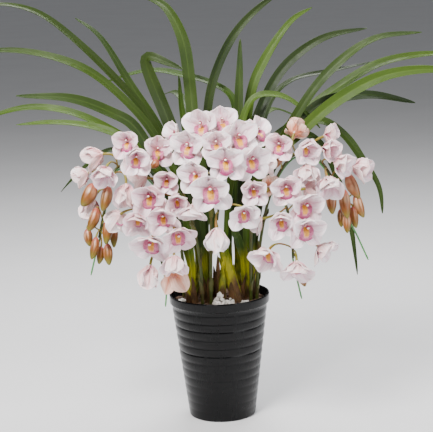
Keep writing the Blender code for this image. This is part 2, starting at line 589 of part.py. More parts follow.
def bud_mesh(bud):
    """A closed bud: a ball drawn out to the bud's length and width."""
    def build(bm):
        bmesh.ops.create_uvsphere(bm, u_segments=BUD_SIDES, v_segments=BUD_RINGS, radius=0.5)
    mesh = mesh_from(build, "bud")
    mesh.transform(Matrix.Diagonal((bud.width, bud.width, bud.length, 1.0)))
    mesh.transform(aimed(Vector(bud.place), facing(bud.turn, bud.tilt)))
    return mesh


def pedicel_mesh(stem_points, place, look, depth, number):
    """The short stalk from the stem near a flower or bud, curving into its back to the given depth.

    Each number in turn starts a little lower on the stem, so no two stalks leave it at one point.
    """
    heart = Vector(place)
    nearest = min(range(1, len(stem_points)), key=lambda i: (stem_points[i] - heart).length)
    root = stem_points[nearest].lerp(stem_points[nearest - 1], number % PEDICEL_PLACES * PEDICEL_STAGGER)
    bend = heart - look * PEDICEL_BEND
    end = heart - look * depth
    points = []
    for index in range(PEDICEL_POINTS):
        t = index / (PEDICEL_POINTS - 1)
        points.append(root * (1 - t)**2 + bend * 2 * t * (1 - t) + end * t**2)
    return tube_mesh(points, PEDICEL_RADIUS, 0)


def make_spike(index, parts, helpers, finish):
    """One stem with all its flowers, buds and stalks, joined into a single body."""
    stem_points = smooth_route(SPIKE_STEMS[index], STEM_POINTS)
    stem_points[0] = stem_points[0] + Vector((0, 0, TOUCH_GAP))
    name = f"flower_spike_{index + 1}"
    stem = add_object(name, tube_mesh(stem_points, STEM_RADIUS, 1, STEM_TIP_SHARE), parts, finish)
    growth = new_collection(f"{name}_growth")
    helpers.children.link(growth)
    bpy.context.scene.collection.children.unlink(growth)
    bearing = stem_points[STEM_BARE_POINTS:]
    meshes = []
    for number, flower in enumerate(FLOWERS[index]):
        look = facing(flower.turn, flower.tilt)
        meshes.append(flower_mesh(flower))
        meshes.append(lip_mesh(flower))
        meshes.append(pedicel_mesh(bearing, flower.place, look, -PETAL_THICKNESS, number))
    for number, bud in enumerate(BUDS[index]):
        look = facing(bud.turn, bud.tilt)
        meshes.append(bud_mesh(bud))
        meshes.append(pedicel_mesh(bearing, bud.place, look, bud.length * BUD_STALK_DEPTH, number + 2))
    for number, mesh in enumerate(meshes):
        mark_helper(add_object(f"{name}_growth_{number + 1}", mesh, growth))
    add_boolean(stem, "UNION", growth)


def wire_route(index):
    """The wire keeps behind its stem while that stands, and under it where it arches out to the side."""
    middle = [Vector(point) for point in SPIKE_STEMS[index] + WIRE_ENDS[index]]
    route = []
    for here, before, after in zip(middle, middle[:1] + middle, middle[1:] + middle[-1:]):
        along = (after - before).normalized()
        side = Vector(WIRE_SIDE)
        side = (side - along * side.dot(along)).normalized()
        route.append(here + side * WIRE_SETBACK)
    route[0].z = MIX_TOP + TOUCH_GAP
    return route


def make_wire(index, parts, finish):
    """A plastic-coated wire that holds the stem's arch and ends past its tip."""
    points = smooth_route(wire_route(index), STEM_POINTS)
    add_object(f"training_wire_{index + 1}", tube_mesh(points, WIRE_RADIUS, 1), parts, finish)


def main():
    remove_all_objects()
    parts = new_collection("potted_orchid")
    helpers = new_collection("orchid_helpers")
    cutters = new_collection("pot_cutters")
    finishes = {name: make_finish(name) for name in FINISHES}
    make_pot(parts, cutters, finishes["pot_plastic"])
    make_mix(parts, finishes["bark"])
    make_stones(parts, finishes["pumice"])
    make_shoots(parts, finishes["sheath"])
    for index, leaf in enumerate(LEAVES):
        make_leaf(f"leaf_{index + 1:02d}", leaf, parts, finishes["leaf"])
    for index in range(len(SPIKE_STEMS)):
        make_spike(index, parts, helpers, finishes["flower"])
        if WIRE_ENDS[index]:
            make_wire(index, parts, finishes["wire_coat"])


main()
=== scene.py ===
"""Looks of the potted cymbidium orchid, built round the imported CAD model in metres, +Z up, front towards -Y.

The routes of the leaves, stems and wires and the places of the flowers and buds repeat part.py's.
"""
import math
import random
from collections import namedtuple

import bpy
import numpy as np
from mathutils import Matrix, Vector


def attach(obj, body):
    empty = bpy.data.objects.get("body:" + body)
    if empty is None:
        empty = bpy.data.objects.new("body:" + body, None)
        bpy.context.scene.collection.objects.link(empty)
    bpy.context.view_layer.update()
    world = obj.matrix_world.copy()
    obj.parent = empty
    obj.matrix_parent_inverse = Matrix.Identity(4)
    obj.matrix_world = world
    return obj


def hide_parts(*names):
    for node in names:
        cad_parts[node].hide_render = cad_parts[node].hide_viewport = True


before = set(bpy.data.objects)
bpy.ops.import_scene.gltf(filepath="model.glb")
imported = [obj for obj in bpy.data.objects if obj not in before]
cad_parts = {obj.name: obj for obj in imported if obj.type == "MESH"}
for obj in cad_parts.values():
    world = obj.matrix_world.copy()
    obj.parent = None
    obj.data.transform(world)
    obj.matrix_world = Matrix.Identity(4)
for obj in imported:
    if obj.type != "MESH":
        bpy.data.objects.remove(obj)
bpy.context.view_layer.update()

# ---- seeds: each piece has its own, so that no two pieces draw the same numbers
POT_SEED = 1
DRILL_SEED = 2
MIX_SEED = 3
CHIP_SEED = 4
STONE_SEED = 10
BIT_SEED = 20
SHOOT_SEED = 30
DRY_SHEATH_SEED = 50
LEAF_SEED = 60
STEM_SEED = 200
WIRE_SEED = 220

# ---- the pot, as in part.py
RIM_RADIUS = 0.090
POT_HEIGHT = 0.225
FOOT_RADIUS = 0.060
POT_WALL = 0.0025
RIM_BAND_HEIGHT = 0.015
RIM_BAND_STEP = 0.0012
RIB_DEPTH = 0.0016
RIB_PITCH = 0.0155
FOOT_RECESS = 0.004
FOOT_RING_WIDTH = 0.010
FOOT_PAD_RADIUS = 0.014
POT_FLOOR_TOP = 0.007
DRAIN_HOLES = 8
DRAIN_RADIUS = 0.005
DRAIN_CIRCLE_RADIUS = 0.033

# ---- the pot's finer shape
POT_SIDES = 160
OUTER_STEPS = 150
INNER_STEPS = 12
AXIS_GAP = 0.0005
FOOT_EDGE = 0.0015
RIB_FLATNESS = 0.6
RIB_FADE_FROM = 0.012
RIB_FADE_OVER = 0.10
LOWEST_RIB_SHARE = 0.25
# Points of the rim's section: in from the rim's radius, then up from the band's foot or down from the top.
BAND_FOOT_POINTS = [(0.0016, -0.0010), (0.0007, -0.0002), (0.0004, 0.0008)]
RIM_TOP_POINTS = [(0.0001, 0.0030), (0.0001, 0.0012), (0.0005, 0.0004), (0.0012, 0.0), (0.0022, 0.0002),
                  (0.0028, 0.0010), (0.0031, 0.0030)]

# ---- bark mix and pumice
MIX_TOP = 0.212
MIX_GAP = 0.0006
MIX_EDGE_DROP = 0.006
MIX_RING_DROP = 0.0045
MIX_DOME = 0.0035
MIX_SIDES = 72
MIX_RINGS = 10
CHIP_COUNT = 420
CHIP_SPANS = ((0.008, 0.018), (0.005, 0.010), (0.003, 0.005))
CHIP_ROUGHNESS = 0.22
STONE_SHARE = 0.65
STONE_ROUGHNESS = 0.22
BIT_ROUGHNESS = 0.25
BIT_SPAN = (0.0030, 0.0068)
LUMP_POLE_GAP = 0.12
LUMP_ROUNDNESS = 0.7
# Heaps of small pumice: the middle, the spread, how many pieces, and how high they are heaped.
HEAPS = [
    ((0.000, -0.048), 0.011, 90, 0.024),
    ((-0.068, -0.018), 0.010, 8, 0.004),
    ((0.046, -0.046), 0.010, 8, 0.004),
    ((0.018, -0.040), 0.010, 16, 0.008),
]

# ---- shoots and leaves; a grid is rows along a sheet and columns across it
SHEATH_THICKNESS = 0.0005
SHEATH_GRID = (20, 25)
DRY_SHEATH_GRID = (18, 11)
SHEATH_LAYERS = 5
CORE_ROWS = 16
LEAF_THICKNESS = 0.0010
LEAF_ROWS = 56
LEAF_BASE_ROWS = 12
LEAF_COLUMNS = 13
LEAF_FOOT_SHARE = 0.55
LEAF_FULL_FROM = 0.35
LEAF_FULL_TO = 0.70
LEAF_SMOOTHING = 3
LEAF_SHADES = {"leaf_mid": 1.0, "leaf_fresh": 1.6, "leaf_dark": 0.7}

# ---- stems and wires
STEM_RADIUS = 0.0030
STEM_TAPER = 0.35
STEM_ROWS = 110
STEM_BARE_ROWS = 36
STEM_JOINTS = (0.06, 0.20, 0.34, 0.48)
JOINT_SWELL = 1.22
BRACT_LENGTH = 0.030
BRACT_SHRINK = 0.004
BRACT_THICKNESS = 0.0005
BRACT_GRID = (12, 11)
BRACT_END = 0.97
WIRE_RADIUS = 0.0015
WIRE_ROWS = 90
WIRE_SETBACK = 0.0075
WIRE_SIDE = (0, 1, -1)

# ---- flowers and buds
PETAL_THICKNESS = 0.0007
PETAL_GRID = (19, 15)
PETAL_REACH = 1.16
LONGEST_PETAL = 0.043
OPEN_LEAN = (24, 16, -6)
CUPPED_LEAN = (28, 74, 100)
LEAN_SPREAD = (6, 8, 20)
MOST_LEAN = 105
LIP_GRID = (25, 21)
LIP_SHARE = 0.95
HIDDEN_LIP_SHARE = 0.6
COLUMN_SHARE = 0.88
TURNED_AWAY = 155
STALK_BEND = 0.030
STALK_ROWS = 16
STALK_SIDES = 12
FLOWER_STALK_RADII = (0.0014, 0.0023)
BUD_STALK_RADII = (0.0013, 0.0019)
BUD_ROWS = 26
BUD_SIDES = 30
BUD_DROP = 0.20

# The petals of a flower: the angles round it where they grow, their relative length and width, how much
# further than the flower's own lean theirs goes at foot, middle and tip, how far their edges come forward,
# and how far in front of the flower's heart they start.
PetalKind = namedtuple("PetalKind", "angles length width lean cup depth")
PETAL_KINDS = [
    PetalKind((90,), 1.00, 0.96, (8, 22, 44), 0.46, -0.0012),
    PetalKind((-54, -126), 1.06, 0.84, (-6, -10, -4), 0.26, -0.0010),
    PetalKind((22, 158), 1.02, 0.92, (10, 14, -4), 0.34, 0.0002),
]

# Where each material of a flower is in its list.
FRONT, BACK, LIP, COLUMN, CAP, STALK, FLUSHED_BACK = range(7)

# ---- camera and room
CAMERA_PLACE = (-0.001, -2.6, 0.875)
CAMERA_PITCH = math.radians(11.1)
CAMERA_ROLL = math.radians(1.7)
CAMERA_LENS = 123.5
SENSOR_WIDTH = 36
FLOOR_REACH = 40.0
FLOOR_DROP = 0.0002
LIT_POINT = (0, 0, 0.4)
# Each lamp's place, size, power and colour.
LAMPS = {
    "key": ((-0.8, -1.6, 2.3), 0.9, 165, (1.0, 0.98, 0.96)),
    "fill": ((1.7, -1.4, 1.1), 1.6, 34, (0.96, 0.98, 1.0)),
    "top": ((0.2, 0.9, 2.1), 1.2, 80, (1.0, 1.0, 1.0)),
}
SKY_COLOUR = (0.92, 0.94, 0.97, 1.0)
SKY_STRENGTH = 0.26

# Old leaf bases round the shoots: foot on the mix, tip, and width.
DRY_SHEATHS = [
    ((-0.021, -0.036), (-0.018, -0.034, 0.262), 0.014),
    ((-0.002, -0.030), (-0.001, -0.026, 0.300), 0.012),
    ((-0.050, -0.038), (-0.046, -0.036, 0.264), 0.017),
    ((0.030, -0.039), (0.020, -0.030, 0.252), 0.018),
    ((0.045, -0.016), (0.047, -0.014, 0.266), 0.014),
    ((0.062, -0.004), (0.064, -0.002, 0.268), 0.015),
    ((-0.030, -0.008), (-0.031, -0.006, 0.274), 0.014),
    ((-0.006, 0.010), (-0.008, 0.012, 0.270), 0.014),
    ((-0.038, 0.059), (-0.042, 0.063, 0.264), 0.018),
    ((0.040, 0.060), (0.046, 0.064, 0.268), 0.018),
]

Shoot = namedtuple("Shoot", "foot top radius")
Leaf = namedtuple("Leaf", "shoot route width face")
Flower = namedtuple("Flower", "place turn tilt span cup")
Bud = namedtuple("Bud", "place turn tilt length width")

# The sheathed shoots: the foot on the mix, the top and the radius.
SHOOTS = [
    Shoot((-0.050, -0.026), (-0.047, -0.026, 0.276), 0.0095),
    Shoot((-0.026, 0.004), (-0.025, 0.006, 0.282), 0.0085),
    Shoot((0.003, -0.030), (0.008, -0.028, 0.278), 0.0055),
    Shoot((0.035, -0.024), (0.008, -0.012, 0.302), 0.0105),
    Shoot((0.052, -0.002), (0.051, 0.000, 0.286), 0.0090),
    Shoot((0.062, 0.022), (0.060, 0.022, 0.290), 0.0085),
    Shoot((-0.030, 0.046), (-0.030, 0.048, 0.284), 0.0110),
    Shoot((0.038, 0.046), (0.040, 0.048, 0.284), 0.0115),
]

# Each leaf: the shoot it grows from, its route to its tip, its greatest width, and where its face looks.
LEAVES = [
    Leaf(0, [(-0.050, -0.027, 0.282), (-0.078, -0.015, 0.400), (-0.135, 0.010, 0.520), (-0.180, 0.014, 0.553),
          (-0.252, 0.002, 0.583), (-0.345, -0.010, 0.591)], 0.020, (0, -0.9, 0.45)),
    Leaf(0, [(-0.044, -0.034, 0.282), (-0.066, -0.027, 0.400), (-0.150, -0.008, 0.500),
          (-0.206, 0.004, 0.529), (-0.279, 0.002, 0.541), (-0.349, 0.000, 0.539)], 0.015, (0, -0.7, 0.7)),
    Leaf(0, [(-0.048, -0.019, 0.284), (-0.080, -0.003, 0.385), (-0.125, 0.030, 0.458), (-0.188, 0.034, 0.485),
          (-0.244, 0.036, 0.446), (-0.280, 0.040, 0.410)], 0.012, (0, -0.6, 0.8)),
    Leaf(1, [(-0.031, 0.008, 0.290), (-0.056, 0.030, 0.400), (-0.110, 0.046, 0.510), (-0.162, 0.050, 0.575),
          (-0.225, 0.050, 0.628), (-0.300, 0.050, 0.657), (-0.377, 0.050, 0.667), (-0.440, 0.050, 0.655)],
         0.015, (0, -0.8, 0.6)),
    Leaf(1, [(-0.018, 0.008, 0.290), (-0.026, 0.018, 0.400), (-0.054, 0.044, 0.528), (-0.061, 0.050, 0.612)],
         0.013, (0, -1, 0.2)),
    Leaf(1, [(-0.025, -0.002, 0.290), (-0.038, 0.004, 0.400), (-0.076, 0.018, 0.521), (-0.095, 0.030, 0.571),
          (-0.112, 0.036, 0.616), (-0.121, 0.037, 0.647), (-0.113, 0.034, 0.652), (-0.085, 0.022, 0.641),
          (-0.052, 0.002, 0.628)], 0.024, (0, -1, 0.25)),
    Leaf(3, [(0.003, -0.010, 0.312), (-0.018, -0.002, 0.400), (-0.036, 0.024, 0.520), (-0.041, 0.040, 0.590),
          (-0.050, 0.052, 0.672), (-0.078, 0.066, 0.732), (-0.108, 0.080, 0.750), (-0.140, 0.092, 0.760)],
         0.022, (0.1, -1, 0.2)),
    Leaf(3, [(0.013, -0.014, 0.312), (0.022, 0.000, 0.400), (0.042, 0.026, 0.500), (0.068, 0.036, 0.568),
          (0.111, 0.038, 0.575), (0.143, 0.032, 0.561), (0.167, 0.022, 0.538), (0.187, 0.012, 0.516)],
         0.013, (0, -0.8, 0.6)),
    Leaf(4, [(0.046, 0.008, 0.292), (0.044, 0.024, 0.380), (0.058, 0.044, 0.480), (0.096, 0.074, 0.570),
          (0.137, 0.086, 0.627), (0.204, 0.092, 0.670), (0.281, 0.100, 0.683)], 0.018, (0, -0.9, 0.45)),
    Leaf(4, [(0.058, 0.003, 0.292), (0.064, 0.008, 0.370), (0.095, 0.008, 0.450), (0.163, 0.010, 0.567),
          (0.222, 0.018, 0.630), (0.287, 0.022, 0.671), (0.369, 0.020, 0.679)], 0.017, (0, -0.8, 0.6)),
    Leaf(4, [(0.050, -0.007, 0.292), (0.058, -0.010, 0.380), (0.090, -0.010, 0.460), (0.143, -0.004, 0.505),
          (0.206, -0.004, 0.559), (0.294, 0.000, 0.605), (0.385, -0.004, 0.616), (0.440, -0.010, 0.602)],
         0.022, (0, -0.9, 0.45)),
    Leaf(5, [(0.055, 0.026, 0.298), (0.063, 0.034, 0.400), (0.095, 0.046, 0.480), (0.149, 0.050, 0.520),
          (0.198, 0.044, 0.558), (0.279, 0.041, 0.569), (0.361, 0.050, 0.551)], 0.021, (0, -0.9, 0.45)),
    Leaf(5, [(0.066, 0.018, 0.298), (0.082, 0.024, 0.400), (0.136, 0.032, 0.500), (0.187, 0.032, 0.528),
          (0.232, 0.034, 0.498), (0.262, 0.045, 0.455), (0.296, 0.060, 0.399), (0.303, 0.070, 0.347)],
         0.017, (0, -0.8, 0.6)),
    Leaf(5, [(0.060, 0.031, 0.298), (0.069, 0.046, 0.390), (0.100, 0.062, 0.470), (0.155, 0.074, 0.530),
          (0.219, 0.072, 0.576), (0.301, 0.074, 0.622), (0.397, 0.080, 0.636), (0.450, 0.084, 0.628)],
         0.018, (0, -0.8, 0.6)),
    Leaf(6, [(-0.037, 0.042, 0.292), (-0.056, 0.060, 0.400), (-0.118, 0.074, 0.535), (-0.176, 0.066, 0.609),
          (-0.237, 0.045, 0.676), (-0.299, 0.018, 0.731), (-0.362, -0.010, 0.751), (-0.420, -0.030, 0.745)],
         0.015, (0, -0.8, 0.6)),
    Leaf(6, [(-0.033, 0.056, 0.292), (-0.046, 0.082, 0.400), (-0.100, 0.096, 0.513), (-0.147, 0.104, 0.588),
          (-0.203, 0.116, 0.681), (-0.248, 0.130, 0.715)], 0.014, (0, -1, 0.4)),
    Leaf(6, [(-0.039, 0.049, 0.292), (-0.068, 0.080, 0.390), (-0.130, 0.100, 0.470), (-0.210, 0.094, 0.525),
          (-0.273, 0.096, 0.551), (-0.338, 0.100, 0.558), (-0.400, 0.105, 0.545), (-0.440, 0.110, 0.525)],
         0.014, (0, -0.8, 0.6)),
    Leaf(6, [(-0.023, 0.043, 0.292), (-0.019, 0.056, 0.400), (-0.012, 0.066, 0.545), (0.008, 0.074, 0.622),
          (0.048, 0.086, 0.691), (0.103, 0.100, 0.739), (0.150, 0.112, 0.762)], 0.016, (0.2, -1, 0.2)),
    Leaf(7, [(0.034, 0.044, 0.292), (0.034, 0.052, 0.400), (0.043, 0.060, 0.532), (0.047, 0.070, 0.599),
          (0.051, 0.082, 0.672)], 0.017, (0, -1, 0.1)),
    Leaf(7, [(0.036, 0.052, 0.292), (0.046, 0.074, 0.400), (0.066, 0.094, 0.561), (0.095, 0.108, 0.631),
          (0.143, 0.124, 0.697), (0.185, 0.140, 0.721)], 0.018, (0, -1, 0.3)),
    Leaf(7, [(0.050, 0.053, 0.292), (0.064, 0.086, 0.400), (0.096, 0.118, 0.535), (0.141, 0.132, 0.588),
          (0.225, 0.145, 0.604), (0.300, 0.160, 0.617)], 0.012, (0, -0.6, 0.8)),
    Leaf(7, [(0.048, 0.044, 0.292), (0.080, 0.062, 0.400), (0.140, 0.086, 0.490), (0.180, 0.088, 0.490),
          (0.212, 0.082, 0.440), (0.242, 0.076, 0.338), (0.252, 0.072, 0.270), (0.256, 0.070, 0.233)],
         0.014, (0.4, -0.9, 0.3)),
    Leaf(7, [(0.022, 0.056, 0.292), (0.026, 0.074, 0.420), (0.039, 0.088, 0.554), (-0.002, 0.096, 0.592),
          (-0.045, 0.104, 0.605), (-0.105, 0.112, 0.618), (-0.163, 0.120, 0.608), (-0.204, 0.128, 0.593)],
         0.013, (0, -0.6, 0.8)),
    Leaf(6, [(-0.028, 0.063, 0.292), (-0.030, 0.106, 0.400), (-0.042, 0.170, 0.510), (-0.070, 0.240, 0.560),
          (-0.110, 0.300, 0.545)], 0.019, (0, -0.4, 0.9)),
    Leaf(7, [(0.040, 0.061, 0.292), (0.044, 0.112, 0.400), (0.070, 0.190, 0.490), (0.110, 0.260, 0.520),
          (0.160, 0.320, 0.500)], 0.020, (0, -0.4, 0.9)),
    Leaf(4, [(0.043, -0.010, 0.292), (0.036, -0.034, 0.330), (0.031, -0.044, 0.342), (0.030, -0.046, 0.371)],
         0.013, (0, -1, 0.1)),
]

# The flower spikes: the route of each stem, and where its wire carries on past its tip.
SPIKE_STEMS = [
    [(-0.064, 0.006, MIX_TOP), (-0.066, 0.016, 0.300), (-0.088, 0.022, 0.385), (-0.120, 0.004, 0.440),
     (-0.150, -0.026, 0.464), (-0.174, -0.045, 0.462), (-0.187, -0.055, 0.427), (-0.198, -0.060, 0.384),
     (-0.207, -0.064, 0.345)],
    [(-0.030, -0.042, MIX_TOP), (-0.033, -0.046, 0.300), (-0.048, -0.050, 0.380), (-0.074, -0.060, 0.432),
     (-0.100, -0.080, 0.432), (-0.112, -0.102, 0.395), (-0.108, -0.118, 0.350), (-0.096, -0.128, 0.310)],
    [(-0.015, -0.042, MIX_TOP), (-0.013, -0.038, 0.300), (-0.008, -0.018, 0.400), (0.004, -0.018, 0.475),
     (0.012, -0.055, 0.500), (0.012, -0.095, 0.470), (0.006, -0.122, 0.425), (0.000, -0.140, 0.385)],
    [(0.056, -0.022, MIX_TOP), (0.058, -0.028, 0.300), (0.062, -0.036, 0.370), (0.078, -0.050, 0.418),
     (0.100, -0.072, 0.424), (0.119, -0.092, 0.398), (0.127, -0.110, 0.354), (0.128, -0.124, 0.312)],
    [(0.067, -0.016, MIX_TOP), (0.073, -0.016, 0.300), (0.091, -0.012, 0.390), (0.116, -0.012, 0.448),
     (0.145, -0.016, 0.476), (0.177, -0.036, 0.470), (0.199, -0.050, 0.443), (0.214, -0.058, 0.410),
     (0.223, -0.060, 0.376)],
]

WIRE_ENDS = [
    [(-0.217, -0.064, 0.312), (-0.226, -0.066, 0.278)],
    [(-0.090, -0.146, 0.273), (-0.093, -0.148, 0.238)],
    [],
    [(0.134, -0.138, 0.280), (0.142, -0.140, 0.243)],
    [(0.242, -0.060, 0.345), (0.266, -0.060, 0.290)],
]

# Each flower: the middle of it, the turn and tilt of its face, its span, and how cupped it still is.
FLOWERS = [
    [Flower((-0.150, -0.066, 0.512), -10, 10, 0.050, 0.30),
     Flower((-0.136, -0.092, 0.490), 8, -2, 0.054, 0.35),
     Flower((-0.101, -0.050, 0.494), 10, 12, 0.054, 0.20),
     Flower((-0.187, -0.094, 0.473), -15, -30, 0.046, 0.50),
     Flower((-0.195, -0.050, 0.490), -110, -10, 0.046, 0.50),
     Flower((-0.222, -0.050, 0.458), -110, -15, 0.038, 0.50),
     Flower((-0.154, -0.096, 0.444), -5, -60, 0.042, 0.75),
     Flower((-0.215, -0.036, 0.409), -60, -60, 0.036, 0.70)],
    [Flower((-0.084, -0.096, 0.451), 0, -2, 0.046, 0.35),
     Flower((-0.112, -0.118, 0.428), -10, -8, 0.064, 0.25),
     Flower((-0.119, -0.070, 0.449), -110, 0, 0.046, 0.40),
     Flower((-0.067, -0.132, 0.422), 5, -5, 0.044, 0.50),
     Flower((-0.091, -0.144, 0.398), 0, -10, 0.056, 0.30),
     Flower((-0.133, -0.126, 0.394), -10, -20, 0.052, 0.40),
     Flower((-0.165, -0.096, 0.392), -150, -30, 0.046, 0.50),
     Flower((-0.111, -0.152, 0.359), -12, -30, 0.068, 0.20),
     Flower((-0.068, -0.164, 0.372), 12, -25, 0.062, 0.20),
     Flower((-0.074, -0.168, 0.332), 0, -60, 0.044, 0.55),
     Flower((-0.116, -0.138, 0.311), -40, -72, 0.040, 0.80),
     Flower((-0.077, -0.146, 0.303), 165, -50, 0.050, 0.60)],
    [Flower((-0.021, -0.080, 0.536), -12, 20, 0.064, 0.12),
     Flower((0.013, -0.074, 0.540), 5, 32, 0.056, 0.15),
     Flower((0.038, -0.094, 0.517), 15, 15, 0.066, 0.12),
     Flower((-0.044, -0.092, 0.506), -15, 8, 0.062, 0.15),
     Flower((0.002, -0.114, 0.511), 0, 15, 0.054, 0.25),
     Flower((0.016, -0.138, 0.485), 3, 6, 0.062, 0.15),
     Flower((0.058, -0.116, 0.484), 20, 0, 0.062, 0.15),
     Flower((0.068, -0.062, 0.519), 50, 38, 0.058, 0.15),
     Flower((-0.062, -0.060, 0.519), -60, 25, 0.052, 0.20),
     Flower((0.080, -0.092, 0.470), 115, 0, 0.036, 0.40),
     Flower((-0.032, -0.138, 0.465), -15, 0, 0.058, 0.20),
     Flower((-0.010, -0.166, 0.445), 0, -6, 0.072, 0.12),
     Flower((-0.040, -0.152, 0.415), -15, -50, 0.052, 0.30),
     Flower((0.044, -0.150, 0.403), 5, -18, 0.056, 0.25),
     Flower((-0.002, -0.166, 0.377), 8, -72, 0.042, 0.80)],
    [Flower((0.062, -0.124, 0.434), 5, 0, 0.048, 0.30),
     Flower((0.089, -0.092, 0.429), 165, 15, 0.040, 0.40),
     Flower((0.117, -0.118, 0.435), 5, 0, 0.056, 0.25),
     Flower((0.152, -0.096, 0.427), 125, 5, 0.048, 0.35),
     Flower((0.146, -0.134, 0.407), 20, -8, 0.062, 0.20),
     Flower((0.107, -0.152, 0.386), 0, -5, 0.052, 0.35),
     Flower((0.147, -0.154, 0.374), 14, -14, 0.064, 0.18),
     Flower((0.076, -0.118, 0.381), -70, -5, 0.044, 0.40),
     Flower((0.086, -0.142, 0.331), -28, -30, 0.060, 0.30),
     Flower((0.170, -0.134, 0.334), 60, -25, 0.050, 0.35),
     Flower((0.132, -0.158, 0.313), 0, -45, 0.062, 0.30)],
    [Flower((0.110, -0.076, 0.501), -5, 8, 0.050, 0.30),
     Flower((0.138, -0.038, 0.514), 160, 25, 0.040, 0.60),
     Flower((0.154, -0.082, 0.498), 15, -12, 0.050, 0.40),
     Flower((0.190, -0.044, 0.509), 75, 20, 0.048, 0.30),
     Flower((0.187, -0.068, 0.492), 40, 0, 0.038, 0.60),
     Flower((0.156, -0.090, 0.467), 5, -45, 0.043, 0.60),
     Flower((0.206, -0.074, 0.470), 50, -10, 0.046, 0.50),
     Flower((0.190, -0.098, 0.446), 10, -35, 0.050, 0.50),
     Flower((0.237, -0.054, 0.455), 72, 0, 0.042, 0.60)],
]

# Each bud: its middle, turn and tilt, length and width.
BUDS = [
    [Bud((-0.223, -0.062, 0.421), -55, -55, 0.046, 0.027),
     Bud((-0.191, -0.088, 0.419), -35, -65, 0.047, 0.021),
     Bud((-0.216, -0.072, 0.379), -45, -60, 0.045, 0.020),
     Bud((-0.191, -0.084, 0.360), -20, -70, 0.046, 0.019),
     Bud((-0.226, -0.054, 0.344), 20, -70, 0.032, 0.017),
     Bud((-0.215, -0.084, 0.331), -30, -65, 0.041, 0.017),
     Bud((-0.181, -0.064, 0.349), 0, -70, 0.045, 0.016),
     Bud((-0.206, -0.070, 0.315), -25, -70, 0.032, 0.015),
     Bud((-0.191, -0.078, 0.318), 10, -70, 0.039, 0.018),
     Bud((-0.105, -0.074, 0.474), -60, -45, 0.019, 0.015)],
    [],
    [],
    [Bud((0.143, -0.136, 0.280), 30, -65, 0.032, 0.016)],
    [Bud((0.102, -0.070, 0.473), -55, -55, 0.035, 0.024),
     Bud((0.239, -0.052, 0.421), 50, -60, 0.049, 0.023),
     Bud((0.198, -0.084, 0.401), 5, -70, 0.046, 0.020),
     Bud((0.222, -0.084, 0.396), 15, -70, 0.052, 0.021),
     Bud((0.249, -0.058, 0.387), 40, -65, 0.045, 0.019),
     Bud((0.215, -0.072, 0.369), 0, -70, 0.033, 0.014),
     Bud((0.224, -0.086, 0.363), 0, -70, 0.037, 0.016),
     Bud((0.239, -0.064, 0.368), 20, -70, 0.039, 0.017)],
]

# Large lumps of pumice: place on the mix and size.
STONES = [
    ((0.000, -0.051), (0.015, 0.013, 0.012)),
    ((0.018, -0.047), (0.012, 0.011, 0.010)),
    ((-0.068, -0.018), (0.014, 0.012, 0.011)),
    ((0.046, -0.046), (0.013, 0.012, 0.010)),
]

# How pink each spike's flowers are: painted shade, the side spikes pinker and the top-lit middle spike white.
SPIKE_SHADE_PINK = [0.16, 0.14, 0.0, 0.12, 0.16]

# ---------------------------------------------------------------- curves and directions

def smooth_route(points, count):
    """Evenly spaced points on a Catmull-Rom curve through the given points."""
    knots = np.array([Vector(p)[:] for p in points])
    knots = np.vstack([2 * knots[0] - knots[1], knots, 2 * knots[-1] - knots[-2]])
    spans = len(knots) - 3
    place = np.linspace(0, spans, 24 * spans + 1)
    index = np.minimum(place.astype(int), spans - 1)
    u = (place - index)[:, None]
    p0, p1, p2, p3 = (knots[index + k] for k in range(4))
    curve = 0.5 * (2 * p1 + (p2 - p0) * u + (2 * p0 - 5 * p1 + 4 * p2 - p3) * u**2
                   + (3 * p1 - p0 - 3 * p2 + p3) * u**3)
    reach = path_lengths(curve)
    wanted = np.linspace(0, reach[-1], count)
    return np.stack([np.interp(wanted, reach, curve[:, k]) for k in range(3)], axis=1)


def path_lengths(points):
    """How far along a path each of its points is."""
    steps = np.linalg.norm(np.diff(points, axis=0), axis=1)
    return np.concatenate([[0], np.cumsum(steps)])


def unit(vectors):
    return vectors / np.maximum(np.linalg.norm(vectors, axis=-1, keepdims=True), 1e-9)


def between(start, end, share):
    """The points at a share of the way from start to end."""
    start = np.array(start)
    return start + (np.array(end) - start) * share


def facing(turn, tilt):
    """The direction that a flower or bud looks in, as in part.py."""
    turn = math.radians(turn)
    tilt = math.radians(tilt)
    return Vector((math.sin(turn) * math.cos(tilt), -math.cos(turn) * math.cos(tilt), math.sin(tilt)))


def aimed(place, direction, roll=0.0):
    """Carries a shape made looking along +Z, its top along +Y, to its place and direction."""
    turn = direction.to_track_quat("Z", "Y").to_matrix().to_4x4()
    return Matrix.Translation(place) @ turn @ Matrix.Rotation(roll, 4, "Z")


def carried(matrix, points):
    turn = np.array(matrix.to_3x3())
    return points @ turn.T + np.array(matrix.translation)


def grid(rows, columns, end=1.0):
    """Places on a sheet: 0 to end along it, as a column, and -1 to 1 across it, as a row."""
    return np.linspace(0, end, rows)[:, None], np.linspace(-1, 1, columns)[None, :]


def circle_angles(sides):
    return np.linspace(0, math.tau, sides, endpoint=False)


def ball_rings(rings, sides, gap):
    """Rings of points on a ball of radius 1; gap is the angle left open at each of its poles."""
    slopes = np.linspace(gap, math.pi - gap, rings)[:, None]
    angles = circle_angles(sides)
    return np.stack([np.sin(slopes) * np.cos(angles), np.sin(slopes) * np.sin(angles),
                     np.cos(slopes) * np.ones(sides)], axis=-1)


def turned_rings(outline, sides):
    """A ring of points round the Z axis for each radius and height of an outline."""
    angles = circle_angles(sides)
    around = np.stack([np.cos(angles), np.sin(angles), np.zeros(sides)], axis=-1)
    return np.array([around * radius + np.array((0, 0, z)) for radius, z in outline])


# ---------------------------------------------------------------- mesh making

def new_mesh(name, points, faces):
    mesh = bpy.data.meshes.new(name)
    mesh.from_pydata(points, [], faces)
    return mesh


